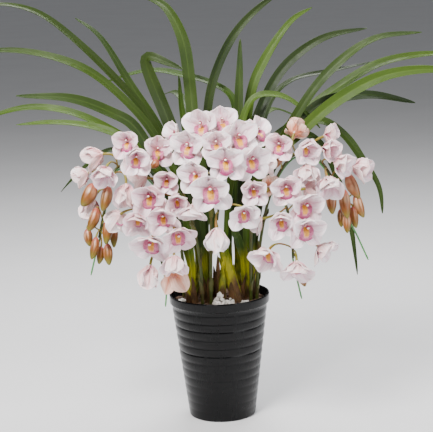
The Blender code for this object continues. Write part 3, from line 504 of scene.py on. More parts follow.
def new_object(name, data):
    item = bpy.data.objects.new(name, data)
    bpy.context.scene.collection.objects.link(item)
    return item


class Shape:
    """One piece while it is being made: closed shells, each with a material and per-vertex values."""

    def __init__(self, seed):
        self.points = []
        self.faces = []
        self.face_materials = []
        self.values = {"along": [], "across": [], "tint": []}
        self.count = 0
        self.random = random.Random(seed)

    def add(self, points, faces, materials, along, across, tint):
        self.points.append(points)
        self.faces.extend([tuple(int(i) + self.count for i in face) for face in faces])
        self.face_materials.extend(materials)
        for name, value in (("along", along), ("across", across), ("tint", tint)):
            self.values[name].append(np.broadcast_to(value, (len(points),)))
        self.count += len(points)

    def sheet(self, points, thickness, front, back, along=None, tint=0.0):
        """A thin closed shell on a grid of points; front is the side that rows x columns looks to."""
        rows, columns = points.shape[:2]
        normal = unit(np.cross(np.gradient(points, axis=0), np.gradient(points, axis=1)))
        size = rows * columns
        shell = np.vstack([(points + normal * thickness / 2).reshape(-1, 3),
                           (points - normal * thickness / 2).reshape(-1, 3)])
        index = np.arange(size).reshape(rows, columns)
        quads = np.stack([index[:-1, :-1], index[1:, :-1], index[1:, 1:], index[:-1, 1:]], axis=-1)
        quads = quads.reshape(-1, 4)
        loop = np.concatenate([index[:-1, 0], index[-1, :-1], index[:0:-1, -1], index[0, :0:-1]])
        after = np.roll(loop, -1)
        rim = np.stack([after, loop, loop + size, after + size], axis=-1)
        faces = np.vstack([quads, quads[:, ::-1] + size, rim])
        materials = [front] * len(quads) + [back] * len(quads) + [front] * len(rim)
        u, v = grid(rows, columns)
        along = np.broadcast_to(u if along is None else along, (rows, columns))
        across = np.broadcast_to(v, (rows, columns))
        self.add(shell, faces, materials, np.tile(along.ravel(), 2), np.tile(across.ravel(), 2), tint)

    def loft(self, rings, material, tint=0.0):
        """A closed body through rings of points, with a point in the middle of each end."""
        count, sides = rings.shape[:2]
        points = np.vstack([rings.reshape(-1, 3), rings[0].mean(axis=0), rings[-1].mean(axis=0)])
        index = np.arange(count * sides).reshape(count, sides)
        beside = np.roll(index, -1, axis=1)
        quads = np.stack([index[:-1], beside[:-1], beside[1:], index[1:]], axis=-1).reshape(-1, 4)
        faces = [*quads.tolist()]
        faces += [(b, a, count * sides) for a, b in zip(index[0], beside[0])]
        faces += [(a, b, count * sides + 1) for a, b in zip(index[-1], beside[-1])]
        along = np.linspace(0, 1, count)
        along = np.concatenate([np.repeat(along, sides), [along[0], along[-1]]])
        across = np.concatenate([np.tile(np.cos(circle_angles(sides)), count), [0, 0]])
        self.add(points, faces, [material] * len(faces), along, across, tint)

    def tube(self, route, radii, sides, material, tint=0.0):
        """A round body along a route; radii is one radius or one for each point."""
        route = np.asarray(route, dtype=float)
        ahead = unit(np.gradient(route, axis=0))
        side = np.cross(ahead[0], (0.3, 0.9, 0.1))
        angles = circle_angles(sides)[:, None]
        radii = np.broadcast_to(radii, (len(route),))
        rings = []
        for here, along, radius in zip(route, ahead, radii):
            side = unit(side - along * np.dot(side, along))
            up = np.cross(along, side)
            rings.append(here + radius * (np.cos(angles) * side + np.sin(angles) * up))
        self.loft(np.array(rings), material, tint)

    def lump(self, place, size, turn, rough, tint, rings, sides):
        """A rough closed lump, such as a chip of bark or a stone."""
        ball = ball_rings(rings, sides, LUMP_POLE_GAP)
        square = np.abs(ball) ** LUMP_ROUNDNESS * np.sign(ball)
        waves = sum(np.sin(ball @ np.array([self.random.uniform(-4, 4) for _ in range(3)])
                           + self.random.uniform(0, math.tau)) for _ in range(4)) / 4
        square = square * (1 + rough * waves)[:, :, None] * np.array(size) / 2
        rotation = Matrix.Rotation(turn[0], 3, "Z") @ Matrix.Rotation(turn[1], 3, "X")
        self.loft(square @ np.array(rotation).T + np.array(place), 0, tint)

    def finish(self, name, materials, nodes=(), sharp=50):
        """Makes the object, which rides with the plant and stands for the given CAD nodes."""
        mesh = new_mesh(name, np.vstack(self.points).tolist(), self.faces)
        for material in materials:
            mesh.materials.append(material)
        mesh.polygons.foreach_set("material_index", self.face_materials)
        for key, parts in self.values.items():
            layer = mesh.attributes.new(key, "FLOAT", "POINT")
            layer.data.foreach_set("value", np.concatenate(parts).astype(np.float32))
        mesh.shade_smooth()
        mesh.set_sharp_from_angle(angle=math.radians(sharp))
        mesh.update()
        piece = new_object(name, mesh)
        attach(piece, "root")
        if nodes:
            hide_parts(*nodes)
        return piece


# ---------------------------------------------------------------- materials

def shaded(colour, gain):
    return tuple(gain * c for c in colour)


class Look:
    """A node-based material, written as a chain of small steps."""

    def __init__(self, name):
        self.material = bpy.data.materials.new(name)
        self.material.use_nodes = True
        self.tree = self.material.node_tree
        self.shader = self.tree.nodes["Principled BSDF"]

    def node(self, kind, **settings):
        made = self.tree.nodes.new(kind)
        for key, value in settings.items():
            setattr(made, key, value)
        return made

    def feed(self, socket, value):
        if hasattr(value, "is_output"):
            self.tree.links.new(value, socket)
        else:
            socket.default_value = value

    def set(self, **inputs):
        """Sets shader sockets; a name's underscores stand for spaces."""
        for key, value in inputs.items():
            self.feed(self.shader.inputs[key.replace("_", " ")], value)

    def value(self, name):
        return self.node("ShaderNodeAttribute", attribute_name=name).outputs["Fac"]

    def place(self, scale=(1, 1, 1)):
        where = self.node("ShaderNodeTexCoord").outputs["Object"]
        spread = self.node("ShaderNodeMapping")
        self.feed(spread.inputs["Vector"], where)
        spread.inputs["Scale"].default_value = scale
        return spread.outputs["Vector"]

    def noise(self, scale, detail, stretch=(1, 1, 1)):
        made = self.node("ShaderNodeTexNoise")
        self.feed(made.inputs["Vector"], self.place(stretch))
        made.inputs["Scale"].default_value = scale
        made.inputs["Detail"].default_value = detail
        made.inputs["Roughness"].default_value = 0.55
        return made.outputs["Fac"]

    def cells(self, scale):
        made = self.node("ShaderNodeTexVoronoi")
        self.feed(made.inputs["Vector"], self.place())
        made.inputs["Scale"].default_value = scale
        return made.outputs["Distance"]

    def math(self, operation, first, second=0.0, third=0.0):
        made = self.node("ShaderNodeMath", operation=operation)
        for socket, value in zip(made.inputs, (first, second, third)):
            self.feed(socket, value)
        return made.outputs[0]

    def add(self, first, second):
        return self.math("ADD", first, second)

    def times(self, value, gain):
        return self.math("MULTIPLY", value, gain)

    def times_plus(self, value, gain, more):
        return self.math("MULTIPLY_ADD", value, gain, more)

    def range(self, value, low, high, start=0.0, end=1.0):
        """Carries low to high over to start to end, softly and no further."""
        made = self.node("ShaderNodeMapRange", interpolation_type="SMOOTHSTEP")
        for socket, item in zip(made.inputs, (value, low, high, start, end)):
            self.feed(socket, item)
        return made.outputs[0]

    def mix(self, factor, first, second):
        made = self.node("ShaderNodeMix", data_type="RGBA")
        self.feed(made.inputs[0], factor)
        for socket, value in ((made.inputs[6], first), (made.inputs[7], second)):
            self.feed(socket, (*value, 1.0) if isinstance(value, tuple) else value)
        return made.outputs[2]

    def patches(self, scale, detail, low=0.3, high=0.7, start=0.0, end=1.0):
        return self.range(self.noise(scale, detail), low, high, start, end)

    def mottled(self, scale, detail, first, second, low=0.3):
        """Two colours in soft patches."""
        return self.mix(self.patches(scale, detail, low), first, second)

    def bump(self, height, strength, distance, under=None):
        made = self.node("ShaderNodeBump")
        made.inputs["Strength"].default_value = strength
        made.inputs["Distance"].default_value = distance
        self.feed(made.inputs["Height"], height)
        if under is not None:
            self.feed(made.inputs["Normal"], under)
        return made.outputs["Normal"]

    def stripes(self, across, count, wander=0.6):
        """Fine lines that run along a petal or blade, each a little off straight."""
        drift = self.times(self.noise(60, 2), wander)
        phase = self.add(self.times(across, count), drift)
        return self.times_plus(self.math("SINE", phase), 0.5, 0.5)


def petal_look(name, pale, blush_and_shade, blush_and_shade_gain, rough):
    """A waxy petal: pale, a pink flush towards its heart, part its own blush and part painted shade, and fine
    pink veins.
    """
    look = Look(name)
    along, across, tint = look.value("along"), look.value("across"), look.value("tint")
    veins = look.math("POWER", look.stripes(across, 22), 3.0)
    # Pinker towards the heart: partly the petal's own blush, partly painted shade inside the cupped flower.
    heart = look.range(along, 0.75, 0.0)
    middle = look.range(look.math("ABSOLUTE", across), 0.5, 0.0)
    cloud = look.patches(55, 3, 0.35, 0.75)
    flush = look.times(look.add(look.times(heart, 0.5), look.times(middle, 0.25)), blush_and_shade_gain)
    flush = look.add(flush, look.times(veins, 0.16))
    flush = look.add(flush, look.times(cloud, 0.12))
    # tint carries the spike's painted shade pink.
    flush = look.add(flush, tint)
    grain = look.bump(look.noise(900, 2), 0.12, 0.0003)
    look.set(Base_Color=look.mix(flush, pale, blush_and_shade))
    look.set(Roughness=look.range(cloud, 0, 1, rough - 0.05, rough + 0.08))
    look.set(Normal=look.bump(look.stripes(across, 22), 0.25, 0.0004, grain))
    look.set(Subsurface_Weight=0.18, Subsurface_Radius=(1.0, 0.6, 0.5), Subsurface_Scale=0.004)
    look.set(Sheen_Weight=0.15, Sheen_Roughness=0.4)
    return look.material


def lip_look():
    """The lip: gold down its middle, then peach, mauve sides with dark flecks and a magenta lower edge."""
    look = Look("lip_inside")
    along, across = look.value("along"), look.value("across")
    wander = look.times_plus(look.noise(140, 2), 0.3, -0.15)
    side = look.add(look.math("ABSOLUTE", across), wander)
    mauve = look.mottled(160, 3, (0.60, 0.19, 0.30), (0.42, 0.08, 0.21))
    flecks = look.times(look.range(look.cells(380), 0.30, 0.18), 0.8)
    mauve = look.mix(flecks, mauve, (0.26, 0.02, 0.06))
    mauve = look.mix(look.range(along, 0.66, 0.94, 0.0, 0.8), mauve, (0.36, 0.03, 0.15))
    mauve = look.mix(look.range(side, 0.92, 1.04, 0.0, 0.4), mauve, (0.76, 0.44, 0.54))
    peach = look.mix(look.range(side, 0.30, 0.46), (0.80, 0.44, 0.36), mauve)
    peach = look.mix(look.range(along, 0.58, 0.78), peach, mauve)
    gold = look.mottled(300, 2, (0.76, 0.38, 0.02), (0.58, 0.22, 0.02))
    ridge = look.times(look.range(side, 0.44, 0.28), look.range(along, 0.74, 0.56))
    look.set(Base_Color=look.mix(ridge, peach, gold), Roughness=0.42)
    look.set(Normal=look.bump(look.noise(500, 3), 0.3, 0.0005))
    look.set(Subsurface_Weight=0.1, Subsurface_Radius=(1.0, 0.5, 0.4), Subsurface_Scale=0.003)
    return look.material


def column_look():
    """The column: cream with red spots, and dark red under its cap."""
    look = Look("column")
    spots = look.times(look.range(look.cells(700), 0.38, 0.22), 0.8)
    colour = look.mix(spots, (0.82, 0.68, 0.62), (0.40, 0.06, 0.12))
    colour = look.mix(look.range(look.value("along"), 0.62, 0.92), colour, (0.30, 0.03, 0.07))
    look.set(Base_Color=colour, Roughness=0.35, Normal=look.bump(look.noise(600, 2), 0.2, 0.0003))
    return look.material


def anther_look():
    """The column's glossy white cap."""
    look = Look("anther_cap")
    look.set(Base_Color=look.mottled(400, 2, (0.92, 0.90, 0.84), (0.86, 0.78, 0.66)), Roughness=0.18)
    look.set(Coat_Weight=0.4, Coat_Roughness=0.1, Normal=look.bump(look.noise(700, 2), 0.1, 0.0002))
    return look.material


def stalk_look(name, green, flush):
    """Stems and stalks: smooth green with a brownish purple flush in patches and fine ribs."""
    look = Look(name)
    patch = look.patches(45, 4, 0.42, 0.70)
    fleck = look.times(look.patches(420, 2, 0.55, 0.75), 0.35)
    colour = look.mix(look.add(look.times(patch, 0.65), fleck), green, flush)
    ribs = look.stripes(look.value("across"), 12, 0.3)
    look.set(Base_Color=colour, Roughness=look.range(patch, 0, 1, 0.44, 0.58), Specular_IOR_Level=0.35)
    look.set(Normal=look.bump(ribs, 0.25, 0.0004))
    look.set(Subsurface_Weight=0.05, Subsurface_Radius=(0.6, 1.0, 0.3), Subsurface_Scale=0.002)
    return look.material


def bud_look():
    """A bud: red shoulders, cream and brown in streaks down it, and more olive at the tip the older it is."""
    look = Look("bud_skin")
    along, across, tint = look.value("along"), look.value("across"), look.value("tint")
    cream = look.mottled(70, 3, (0.66, 0.40, 0.24), (0.46, 0.17, 0.09), 0.35)
    brown = look.mottled(60, 4, (0.21, 0.058, 0.006), (0.15, 0.060, 0.005), 0.35)
    streaks = look.math("POWER", look.stripes(across, 9, 0.8), 2.0)
    ripe = look.add(look.range(along, 0.30, 0.80, 0.0, 0.65), look.times(streaks, 0.60))
    ripe = look.times_plus(tint, 1.6, ripe)
    colour = look.mix(ripe, cream, brown)
    colour = look.mix(look.range(along, 0.34, 0.04, 0.0, 0.85), colour, (0.38, 0.075, 0.055))
    green_from = look.times_plus(tint, 0.9, along)
    colour = look.mix(look.range(green_from, 0.80, 1.20), colour, (0.15, 0.13, 0.008))
    veins = look.bump(look.stripes(across, 26, 0.5), 0.2, 0.0004)
    look.set(Base_Color=colour, Roughness=0.38, Normal=veins, Coat_Weight=0.08, Coat_Roughness=0.3)
    look.set(Subsurface_Weight=0.12, Subsurface_Radius=(1.0, 0.5, 0.3), Subsurface_Scale=0.003)
    return look.material


def leaf_look(name, shade):
    """A strap leaf: brown and straw at its foot, then green, with fine veins and a paler middle line.

    Here along is the distance from the leaf's foot, in metres.
    """
    look = Look(name)
    along, across, tint = look.value("along"), look.value("across"), look.value("tint")
    fresh = shaded((0.027, 0.052, 0.002), shade)
    deep = shaded((0.005, 0.017, 0.0013), shade)
    green = look.mix(look.add(look.patches(9, 3, 0.3, 0.7, -0.15, 0.35), tint), fresh, deep)
    veins = look.stripes(across, 40, 0.8)
    green = look.mix(look.times(veins, 0.22), green, shaded(deep, 0.6))
    side = look.math("ABSOLUTE", across)
    green = look.mix(look.range(side, 0.10, 0.0, 0.0, 0.5), green, shaded(fresh, 1.7))
    # Paler along both edges: painted highlight where the raised edges catch the light.
    green = look.mix(look.range(side, 0.90, 1.0, 0.0, 0.4), green, shaded(fresh, 1.5))
    straw = look.mottled(30, 4, (0.30, 0.29, 0.008), (0.11, 0.14, 0.008))
    husk = look.mottled(80, 5, (0.080, 0.032, 0.010), (0.030, 0.012, 0.005))
    wander = look.times_plus(look.noise(25, 2), 0.04, look.math("SUBTRACT", along, 0.020))
    colour = look.mix(look.range(wander, 0.015, 0.040), husk, straw)
    colour = look.mix(look.range(wander, 0.045, 0.105), colour, green)
    fibres = look.bump(veins, 0.25, 0.0003)
    look.set(Base_Color=colour, Roughness=look.patches(35, 3, 0.3, 0.7, 0.45, 0.60))
    look.set(Normal=look.bump(look.noise(120, 2), 0.06, 0.0005, fibres), Specular_IOR_Level=0.24)
    return look.material


def sheath_look():
    """Papery sheaths: fibrous brown at the foot, straw and green higher up, with torn pale threads."""
    look = Look("sheath_skin")
    along, across, tint = look.value("along"), look.value("across"), look.value("tint")
    fibre = look.stripes(across, 60, 1.6)
    dry = look.mottled(60, 5, (0.095, 0.038, 0.012), (0.030, 0.012, 0.005))
    live = look.mottled(40, 4, (0.30, 0.29, 0.004), (0.10, 0.13, 0.006), 0.35)
    rise = look.add(along, look.times_plus(look.noise(50, 3), 0.4, -0.2))
    colour = look.mix(look.range(look.math("SUBTRACT", rise, tint), 0.25, 0.6), dry, live)
    colour = look.mix(look.times(look.math("POWER", fibre, 4.0), 0.3), colour, (0.26, 0.19, 0.05))
    look.set(Base_Color=colour, Roughness=look.range(fibre, 0, 1, 0.55, 0.75), Specular_IOR_Level=0.3)
    look.set(Normal=look.bump(fibre, 0.5, 0.0006, look.bump(look.noise(200, 4), 0.3, 0.0008)))
    return look.material


def pot_look():
    """Satin black moulded plastic with faint dust in patches and fine rubs."""
    look = Look("pot_satin")
    dust = look.patches(26, 5, 0.50, 0.85)
    rubs = look.range(look.noise(90, 4, (1, 1, 0.08)), 0.45, 0.75)
    colour = look.mix(look.times(dust, 0.35), (0.0010, 0.0011, 0.0013), (0.007, 0.007, 0.007))
    roughness = look.add(look.range(rubs, 0, 1, 0.24, 0.34), look.times(dust, 0.10))
    fine = look.bump(look.noise(1400, 2), 0.06, 0.0003)
    look.set(Base_Color=colour, Roughness=roughness, Specular_IOR_Level=0.22)
    look.set(Normal=look.bump(look.noise(18, 2), 0.08, 0.001, fine))
    return look.material


def bark_look():
    """Rough chips of bark, some paler than others."""
    look = Look("bark_chips")
    grain = look.noise(240, 5, (1, 1, 2.5))
    brown = look.mix(look.range(grain, 0.3, 0.7), (0.085, 0.038, 0.018), (0.022, 0.011, 0.007))
    colour = look.mix(look.value("tint"), brown, (0.13, 0.075, 0.040))
    look.set(Base_Color=colour, Roughness=0.9, Normal=look.bump(grain, 0.8, 0.0015))
    return look.material


def pumice_look():
    """Pale rough rock, its pits painted darker as shade."""
    look = Look("pumice_rock")
    pits = look.range(look.cells(650), 0.05, 0.30)
    grain = look.noise(300, 5)
    pale = look.mix(look.range(grain, 0.3, 0.7), (0.78, 0.76, 0.71), (0.58, 0.55, 0.49))
    # The pits are painted darker: painted shade in the hollows.
    look.set(Base_Color=look.mix(pits, (0.42, 0.39, 0.34), pale), Roughness=0.92)
    look.set(Normal=look.bump(pits, 0.6, 0.0008, look.bump(grain, 0.5, 0.001)))
    return look.material


def wire_look():
    """The wire's green plastic coat."""
    look = Look("wire_green")
    look.set(Base_Color=look.mottled(80, 3, (0.045, 0.20, 0.045), (0.08, 0.26, 0.06), 0.35), Roughness=0.32)
    look.set(Normal=look.bump(look.noise(500, 2), 0.1, 0.0003))
    return look.material


def floor_look():
    look = Look("floor_pale")
    look.set(Base_Color=look.mottled(3, 2, (0.60, 0.60, 0.61), (0.62, 0.62, 0.63)), Roughness=0.75)
    return look.material


# ---------------------------------------------------------------- pot, mix and pumice

def wall_radius(z):
    """The outside of the pot's wall at height z, without its ribs."""
    top = RIM_RADIUS - RIM_BAND_STEP
    return FOOT_RADIUS + (top - FOOT_RADIUS) * z / POT_HEIGHT


def rib_drop(z, band_foot):
    """How far the wall sinks at height z: rounded ridges between narrow grooves, fading towards the foot."""
    ridge = abs(math.sin(math.pi * (band_foot - z) / RIB_PITCH - math.pi / 2))
    fade = min(max((z - RIB_FADE_FROM) / RIB_FADE_OVER, 0.0), 1.0)
    return RIB_DEPTH * (1 - ridge ** RIB_FLATNESS) * (LOWEST_RIB_SHARE + (1 - LOWEST_RIB_SHARE) * fade)


def pot_outline():
    """The pot's section, from the middle of the underside up the outside, over the rim and down inside."""
    band_foot = POT_HEIGHT - RIM_BAND_HEIGHT
    ring_inner = FOOT_RADIUS - FOOT_RING_WIDTH
    outline = [(AXIS_GAP, 0.0), (FOOT_PAD_RADIUS, 0.0), (FOOT_PAD_RADIUS + 0.001, FOOT_RECESS),
               (ring_inner - 0.001, FOOT_RECESS), (ring_inner, 0.0002), (ring_inner + 0.0006, 0.0),
               (FOOT_RADIUS - 0.0016, 0.0), (FOOT_RADIUS - 0.0005, 0.0004), (FOOT_RADIUS, FOOT_EDGE)]
    for step in range(1, OUTER_STEPS):
        z = FOOT_EDGE + (band_foot - 0.003 - FOOT_EDGE) * step / OUTER_STEPS
        outline.append((wall_radius(z) - rib_drop(z, band_foot), z))
    outline.append((wall_radius(band_foot), band_foot - 0.0022))
    outline += [(RIM_RADIUS - inward, band_foot + up) for inward, up in BAND_FOOT_POINTS]
    outline += [(RIM_RADIUS - inward, POT_HEIGHT - down) for inward, down in RIM_TOP_POINTS]
    inset = POT_WALL + RIB_DEPTH
    outline.append((wall_radius(band_foot) - inset + 0.0006, band_foot + 0.001))
    for step in range(INNER_STEPS + 1):
        z = band_foot - (band_foot - POT_FLOOR_TOP - 0.002) * step / INNER_STEPS
        outline.append((wall_radius(z) - inset, z))
    outline += [(wall_radius(POT_FLOOR_TOP) - inset - 0.002, POT_FLOOR_TOP), (AXIS_GAP, POT_FLOOR_TOP)]
    return outline


def drain_drills():
    """Pegs where the drainage holes go."""
    drills = Shape(DRILL_SEED)
    for index in range(DRAIN_HOLES):
        angle = math.tau * (index + 0.5) / DRAIN_HOLES
        centre = np.array((DRAIN_CIRCLE_RADIUS * math.cos(angle), DRAIN_CIRCLE_RADIUS * math.sin(angle), 0))
        route = [centre + (0, 0, z) for z in (-0.002, POT_FLOOR_TOP + 0.002)]
        drills.tube(route, DRAIN_RADIUS, 24, 0)
    mesh = new_mesh("drain_drills", np.vstack(drills.points).tolist(), drills.faces)
    return new_object("drain_drills", mesh)


def make_pot(material):
    """The turned pot, with its drainage holes cut through the floor."""
    shape = Shape(POT_SEED)
    shape.loft(turned_rings(pot_outline(), POT_SIDES), 0)
    pot = shape.finish("orchid_pot", [material], ["pot"], sharp=40)
    cutter = drain_drills()
    cut = pot.modifiers.new("drains", "BOOLEAN")
    cut.object = cutter
    bpy.context.view_layer.update()
    drilled = bpy.data.meshes.new_from_object(pot.evaluated_get(bpy.context.evaluated_depsgraph_get()))
    pot.modifiers.clear()
    pot.data = drilled
    bpy.data.objects.remove(cutter, do_unlink=True)


def make_mix_bed(material):
    """The body of the mix: a slightly domed and uneven top in the pot."""
    clearance = POT_WALL + RIB_DEPTH + MIX_GAP
    low = POT_FLOOR_TOP + MIX_GAP
    edge = wall_radius(MIX_TOP) - clearance - 0.001
    outline = [(0.001, low), (wall_radius(low) - clearance, low), (edge, MIX_TOP - MIX_EDGE_DROP)]
    first_top_ring = len(outline)
    outline += [(edge * (1 - step / MIX_RINGS), MIX_TOP - MIX_RING_DROP + MIX_DOME * step / MIX_RINGS)
                for step in range(1, MIX_RINGS)]
    shape = Shape(MIX_SEED)
    rings = turned_rings(outline, MIX_SIDES)
    for ring in rings[first_top_ring:]:
        ring[:, 2] += [shape.random.uniform(-0.0015, 0.0010) for _ in range(len(ring))]
    shape.loft(rings, 0)
    shape.finish("mix_bed", [material], ["potting_mix"], sharp=80)


def make_bark_chips(material):
    """Loose chips of bark over the top of the mix."""
    chips = Shape(CHIP_SEED)
    draw = chips.random.uniform
    for _ in range(CHIP_COUNT):
        radius = (wall_radius(MIX_TOP) - 0.012) * math.sqrt(chips.random.random())
        angle = draw(0, math.tau)
        size = [draw(*span) for span in CHIP_SPANS]
        place = (radius * math.cos(angle), radius * math.sin(angle), MIX_TOP + draw(-0.002, 0.0025))
        turn = (draw(0, math.tau), chips.random.gauss(0, 0.35))
        chips.lump(place, size, turn, CHIP_ROUGHNESS, draw(0, 0.8), rings=6, sides=7)
    chips.finish("bark_chips", [material], sharp=35)


def make_stones(material):
    """The four large lumps of pumice."""
    for index, ((x, y), size) in enumerate(STONES):
        stone = Shape(STONE_SEED + index)
        size = np.array(size) * STONE_SHARE
        place = (x, y, MIX_TOP + size[2] * 0.45)
        stone.lump(place, size, (index * 1.3, 0.2), STONE_ROUGHNESS, 0.0, rings=14, sides=18)
        stone.finish(f"pumice_lump_{index + 1}", [material], [f"pumice_{index + 1}"])


def make_pumice_bits(material):
    """Small pieces of pumice heaped round the lumps."""
    bits = Shape(BIT_SEED)
    draw = bits.random.uniform
    for (x, y), spread, count, rise in HEAPS:
        for _ in range(count):
            away = spread * math.sqrt(bits.random.random())
            angle = draw(0, math.tau)
            lift = rise * (1 - away / spread) * draw(0.7, 1.0)
            size = [draw(*BIT_SPAN) for _ in range(3)]
            place = (x + away * math.cos(angle), y + away * math.sin(angle), MIX_TOP + 0.003 + lift)
            bits.lump(place, size, (angle, away * 90), BIT_ROUGHNESS, 0.0, rings=8, sides=9)
    bits.finish("pumice_bits", [material])


# ---------------------------------------------------------------- shoots and leaves

def sheath_points(foot, top, radius, start, end, turn, wrap, flare):
    """A sheath wrapped round a shoot from start to end of its height, its tip drawn out to a point."""
    u, v = grid(*SHEATH_GRID)
    point = 1 - 0.55 * np.abs(v) ** 1.6
    height = start + (end - start) * u * point
    angle = turn + wrap * v * (1 - 0.25 * u)
    swell = 0.86 + 0.22 * np.sin(np.clip(height, 0, 1) * math.pi) - 0.34 * height
    spread = radius * swell + flare * (u * point) ** 3
    outward = np.stack([np.cos(angle), np.sin(angle), np.zeros_like(angle)], axis=-1)
    return between(foot, top, height[:, :, None]) + outward * spread[:, :, None]


def make_shoot(index, shoot, material):
    """A shoot: its core, and the leaf sheaths wrapped round it one over another."""
    shape = Shape(SHOOT_SEED + index)
    draw = shape.random.uniform
    foot = (*shoot.foot, MIX_TOP - 0.006)
    heights = np.linspace(0, 1, CORE_ROWS)
    radii = shoot.radius * (0.78 + 0.20 * np.sin(heights * math.pi) - 0.36 * heights)
    shape.tube(between(foot, shoot.top, heights[:, None]), radii, 20, 0, 0.1)
    for layer in range(SHEATH_LAYERS):
        turn = index * 0.9 + layer * math.pi + draw(-0.3, 0.3)
        start = layer * 0.10
        end = start + draw(0.55, 0.80)
        radius = shoot.radius * (1.22 - 0.05 * layer)
        points = sheath_points(foot, shoot.top, radius, start, end, turn, draw(1.9, 2.5), draw(0.001, 0.005))
        shape.sheet(points, SHEATH_THICKNESS, 0, 0, tint=0.28 - 0.09 * layer)
    shape.finish(f"sheathed_shoot_{index + 1}", [material], [f"shoot_{index + 1}"])


def make_dry_sheaths(material):
    """Old papery leaf bases that stand round the shoots: brown, pointed and curled in at their edges."""
    shape = Shape(DRY_SHEATH_SEED)
    draw = shape.random.uniform
    u, v = grid(*DRY_SHEATH_GRID)
    for foot, tip, width in DRY_SHEATHS:
        centre = between((*foot, MIX_TOP - 0.004), tip, u)
        outward = unit(np.array((foot[0] * 0.5, foot[1], 0.0)))
        sideways = np.cross((0, 0, 1), outward)
        half = width / 2 * (1 - u ** 2.4) ** 0.9 * (1 + 0.10 * np.sin(7 * u + draw(0, 6)))
        curl = -half * (0.75 * v**2 + 0.10 * np.sin(5 * v + 9 * u + draw(0, 6)))
        points = (centre[:, None, :] + sideways * (v * np.maximum(half, 0.0004))[:, :, None]
                  + outward * (curl + 0.004 * u**3)[:, :, None])
        shape.sheet(points, SHEATH_THICKNESS, 0, 0, tint=draw(0.45, 0.9))
    shape.finish("dry_sheaths", [material])


def leaf_half_width(t, width):
    """Half the blade's width at t, as in part.py, but drawn out to a fine point."""
    rise = np.sin(np.minimum(t / LEAF_FULL_FROM, 1.0) * math.pi / 2)
    fall = np.where(t > LEAF_FULL_TO, np.sqrt(np.maximum(1 - t, 0.0) / (1 - LEAF_FULL_TO)), 1.0)
    return width / 2 * (LEAF_FOOT_SHARE + (1 - LEAF_FOOT_SHARE) * rise) * np.maximum(fall, 0.03)


def leaf_middle(leaf):
    """The middle line of a leaf: up inside its shoot's sheaths, then along its route."""
    shoot = SHOOTS[leaf.shoot]
    start = Vector(leaf.route[0])
    inset = Vector((start.x - shoot.top[0], start.y - shoot.top[1], 0)) * 0.8
    foot = Vector((*shoot.foot, MIX_TOP + 0.004)) + inset
    base = np.array([foot.lerp(start, k / LEAF_BASE_ROWS)[:] for k in range(LEAF_BASE_ROWS)])
    middle = np.vstack([base, smooth_route(leaf.route, LEAF_ROWS)])
    for _ in range(LEAF_SMOOTHING):
        middle[1:-1] = (middle[:-2] + 2 * middle[1:-1] + middle[2:]) / 4
    return middle


def make_leaf(index, leaf, materials):
    """A folded strap blade, slightly twisted, its edges rippled."""
    shape = Shape(LEAF_SEED + index)
    draw = shape.random.uniform
    middle = leaf_middle(leaf)
    t = np.concatenate([np.zeros(LEAF_BASE_ROWS), np.linspace(0, 1, LEAF_ROWS)])[:, None]
    sheathed = np.concatenate([np.linspace(1, 0, LEAF_BASE_ROWS), np.zeros(LEAF_ROWS)])[:, None]
    v = np.linspace(-1, 1, LEAF_COLUMNS)[None, :]
    ahead = unit(np.gradient(middle, axis=0))
    side = unit(np.cross(np.array(leaf.face), ahead))
    face = unit(np.cross(ahead, side))
    twist = draw(-0.25, 0.25) * t + 0.06 * np.sin(5 * t + draw(0, 6))
    side, face = (side * np.cos(twist) + face * np.sin(twist), face * np.cos(twist) - side * np.sin(twist))
    half = leaf_half_width(t, leaf.width) * (1 + 0.25 * sheathed)
    fold = 0.30 + 0.55 * np.exp(-t / 0.10) + 0.25 * sheathed
    ripple = 0.0007 * np.sin(26 * t + draw(0, 6) + 1.5 * np.sign(v)) * np.abs(v) ** 3
    across = v * half / np.sqrt(1 + 0.6 * fold**2)
    lift = half * fold * np.sqrt(v**2 + 0.02) + ripple * np.minimum(t * 6, 1)
    points = middle[:, None, :] + side[:, None, :] * across[:, :, None] + face[:, None, :] * lift[:, :, None]
    along = path_lengths(middle)[:, None]
    shape.sheet(points, LEAF_THICKNESS, 0, 0, along=along, tint=draw(-0.2, 0.45))
    number = f"{index + 1:02d}"
    shape.finish(f"strap_leaf_{number}", [materials[index % len(materials)]], [f"leaf_{number}"])


# ---------------------------------------------------------------- flowers and buds

def petal_outline(u):
    """A petal's relative half-width at u: a fair foot, full past its middle, drawn in to a rounded tip."""
    return u ** 0.5 * (1 - u**3.2) ** 0.8 / 0.655


def petal_points(length, width, angle, bends, cup, draw):
    """One sepal or petal, growing from the flower's heart at an angle round it; +Z is the flower's front.

    bends is how far it leans forward at its foot, its middle and its tip, and cup how far its edges come
    forward.
    """
    u, v = grid(*PETAL_GRID)
    foot, middle, tip = (math.radians(bend) for bend in bends)
    lean = foot * (1 - u) * (1 - 2 * u) + middle * 4 * u * (1 - u) + tip * u * (2 * u - 1)
    step = length / (len(u) - 1)
    outward = np.cumsum(np.cos(lean), axis=0) * step - step
    forward = np.cumsum(np.sin(lean), axis=0) * step - step * math.sin(foot)
    half = width / 2 * np.maximum(petal_outline(u), 0.015)
    half = half * (1 + draw(0.03, 0.08) * np.sin(11 * u + draw(0, 6) + 1.7 * v))
    wave = draw(0.10, 0.24) * np.sin(10 * u + draw(0, 6) + 3.0 * v)
    crease = -0.20 * np.exp(-(v / 0.14) ** 2) * np.sin(math.pi * u)
    twist = draw(-0.30, 0.30) * u * v
    lift = half * (cup * v**2 * (1 - 0.5 * u) + wave * np.abs(v) ** 3 + crease + twist)
    radial = outward - np.sin(lean) * lift
    front = forward + np.cos(lean) * lift
    sideways = -v * half * (1 - 0.18 * cup * v**2)
    x = radial * math.cos(angle) - sideways * math.sin(angle)
    y = radial * math.sin(angle) + sideways * math.cos(angle)
    return np.stack([x, y, front], axis=-1)


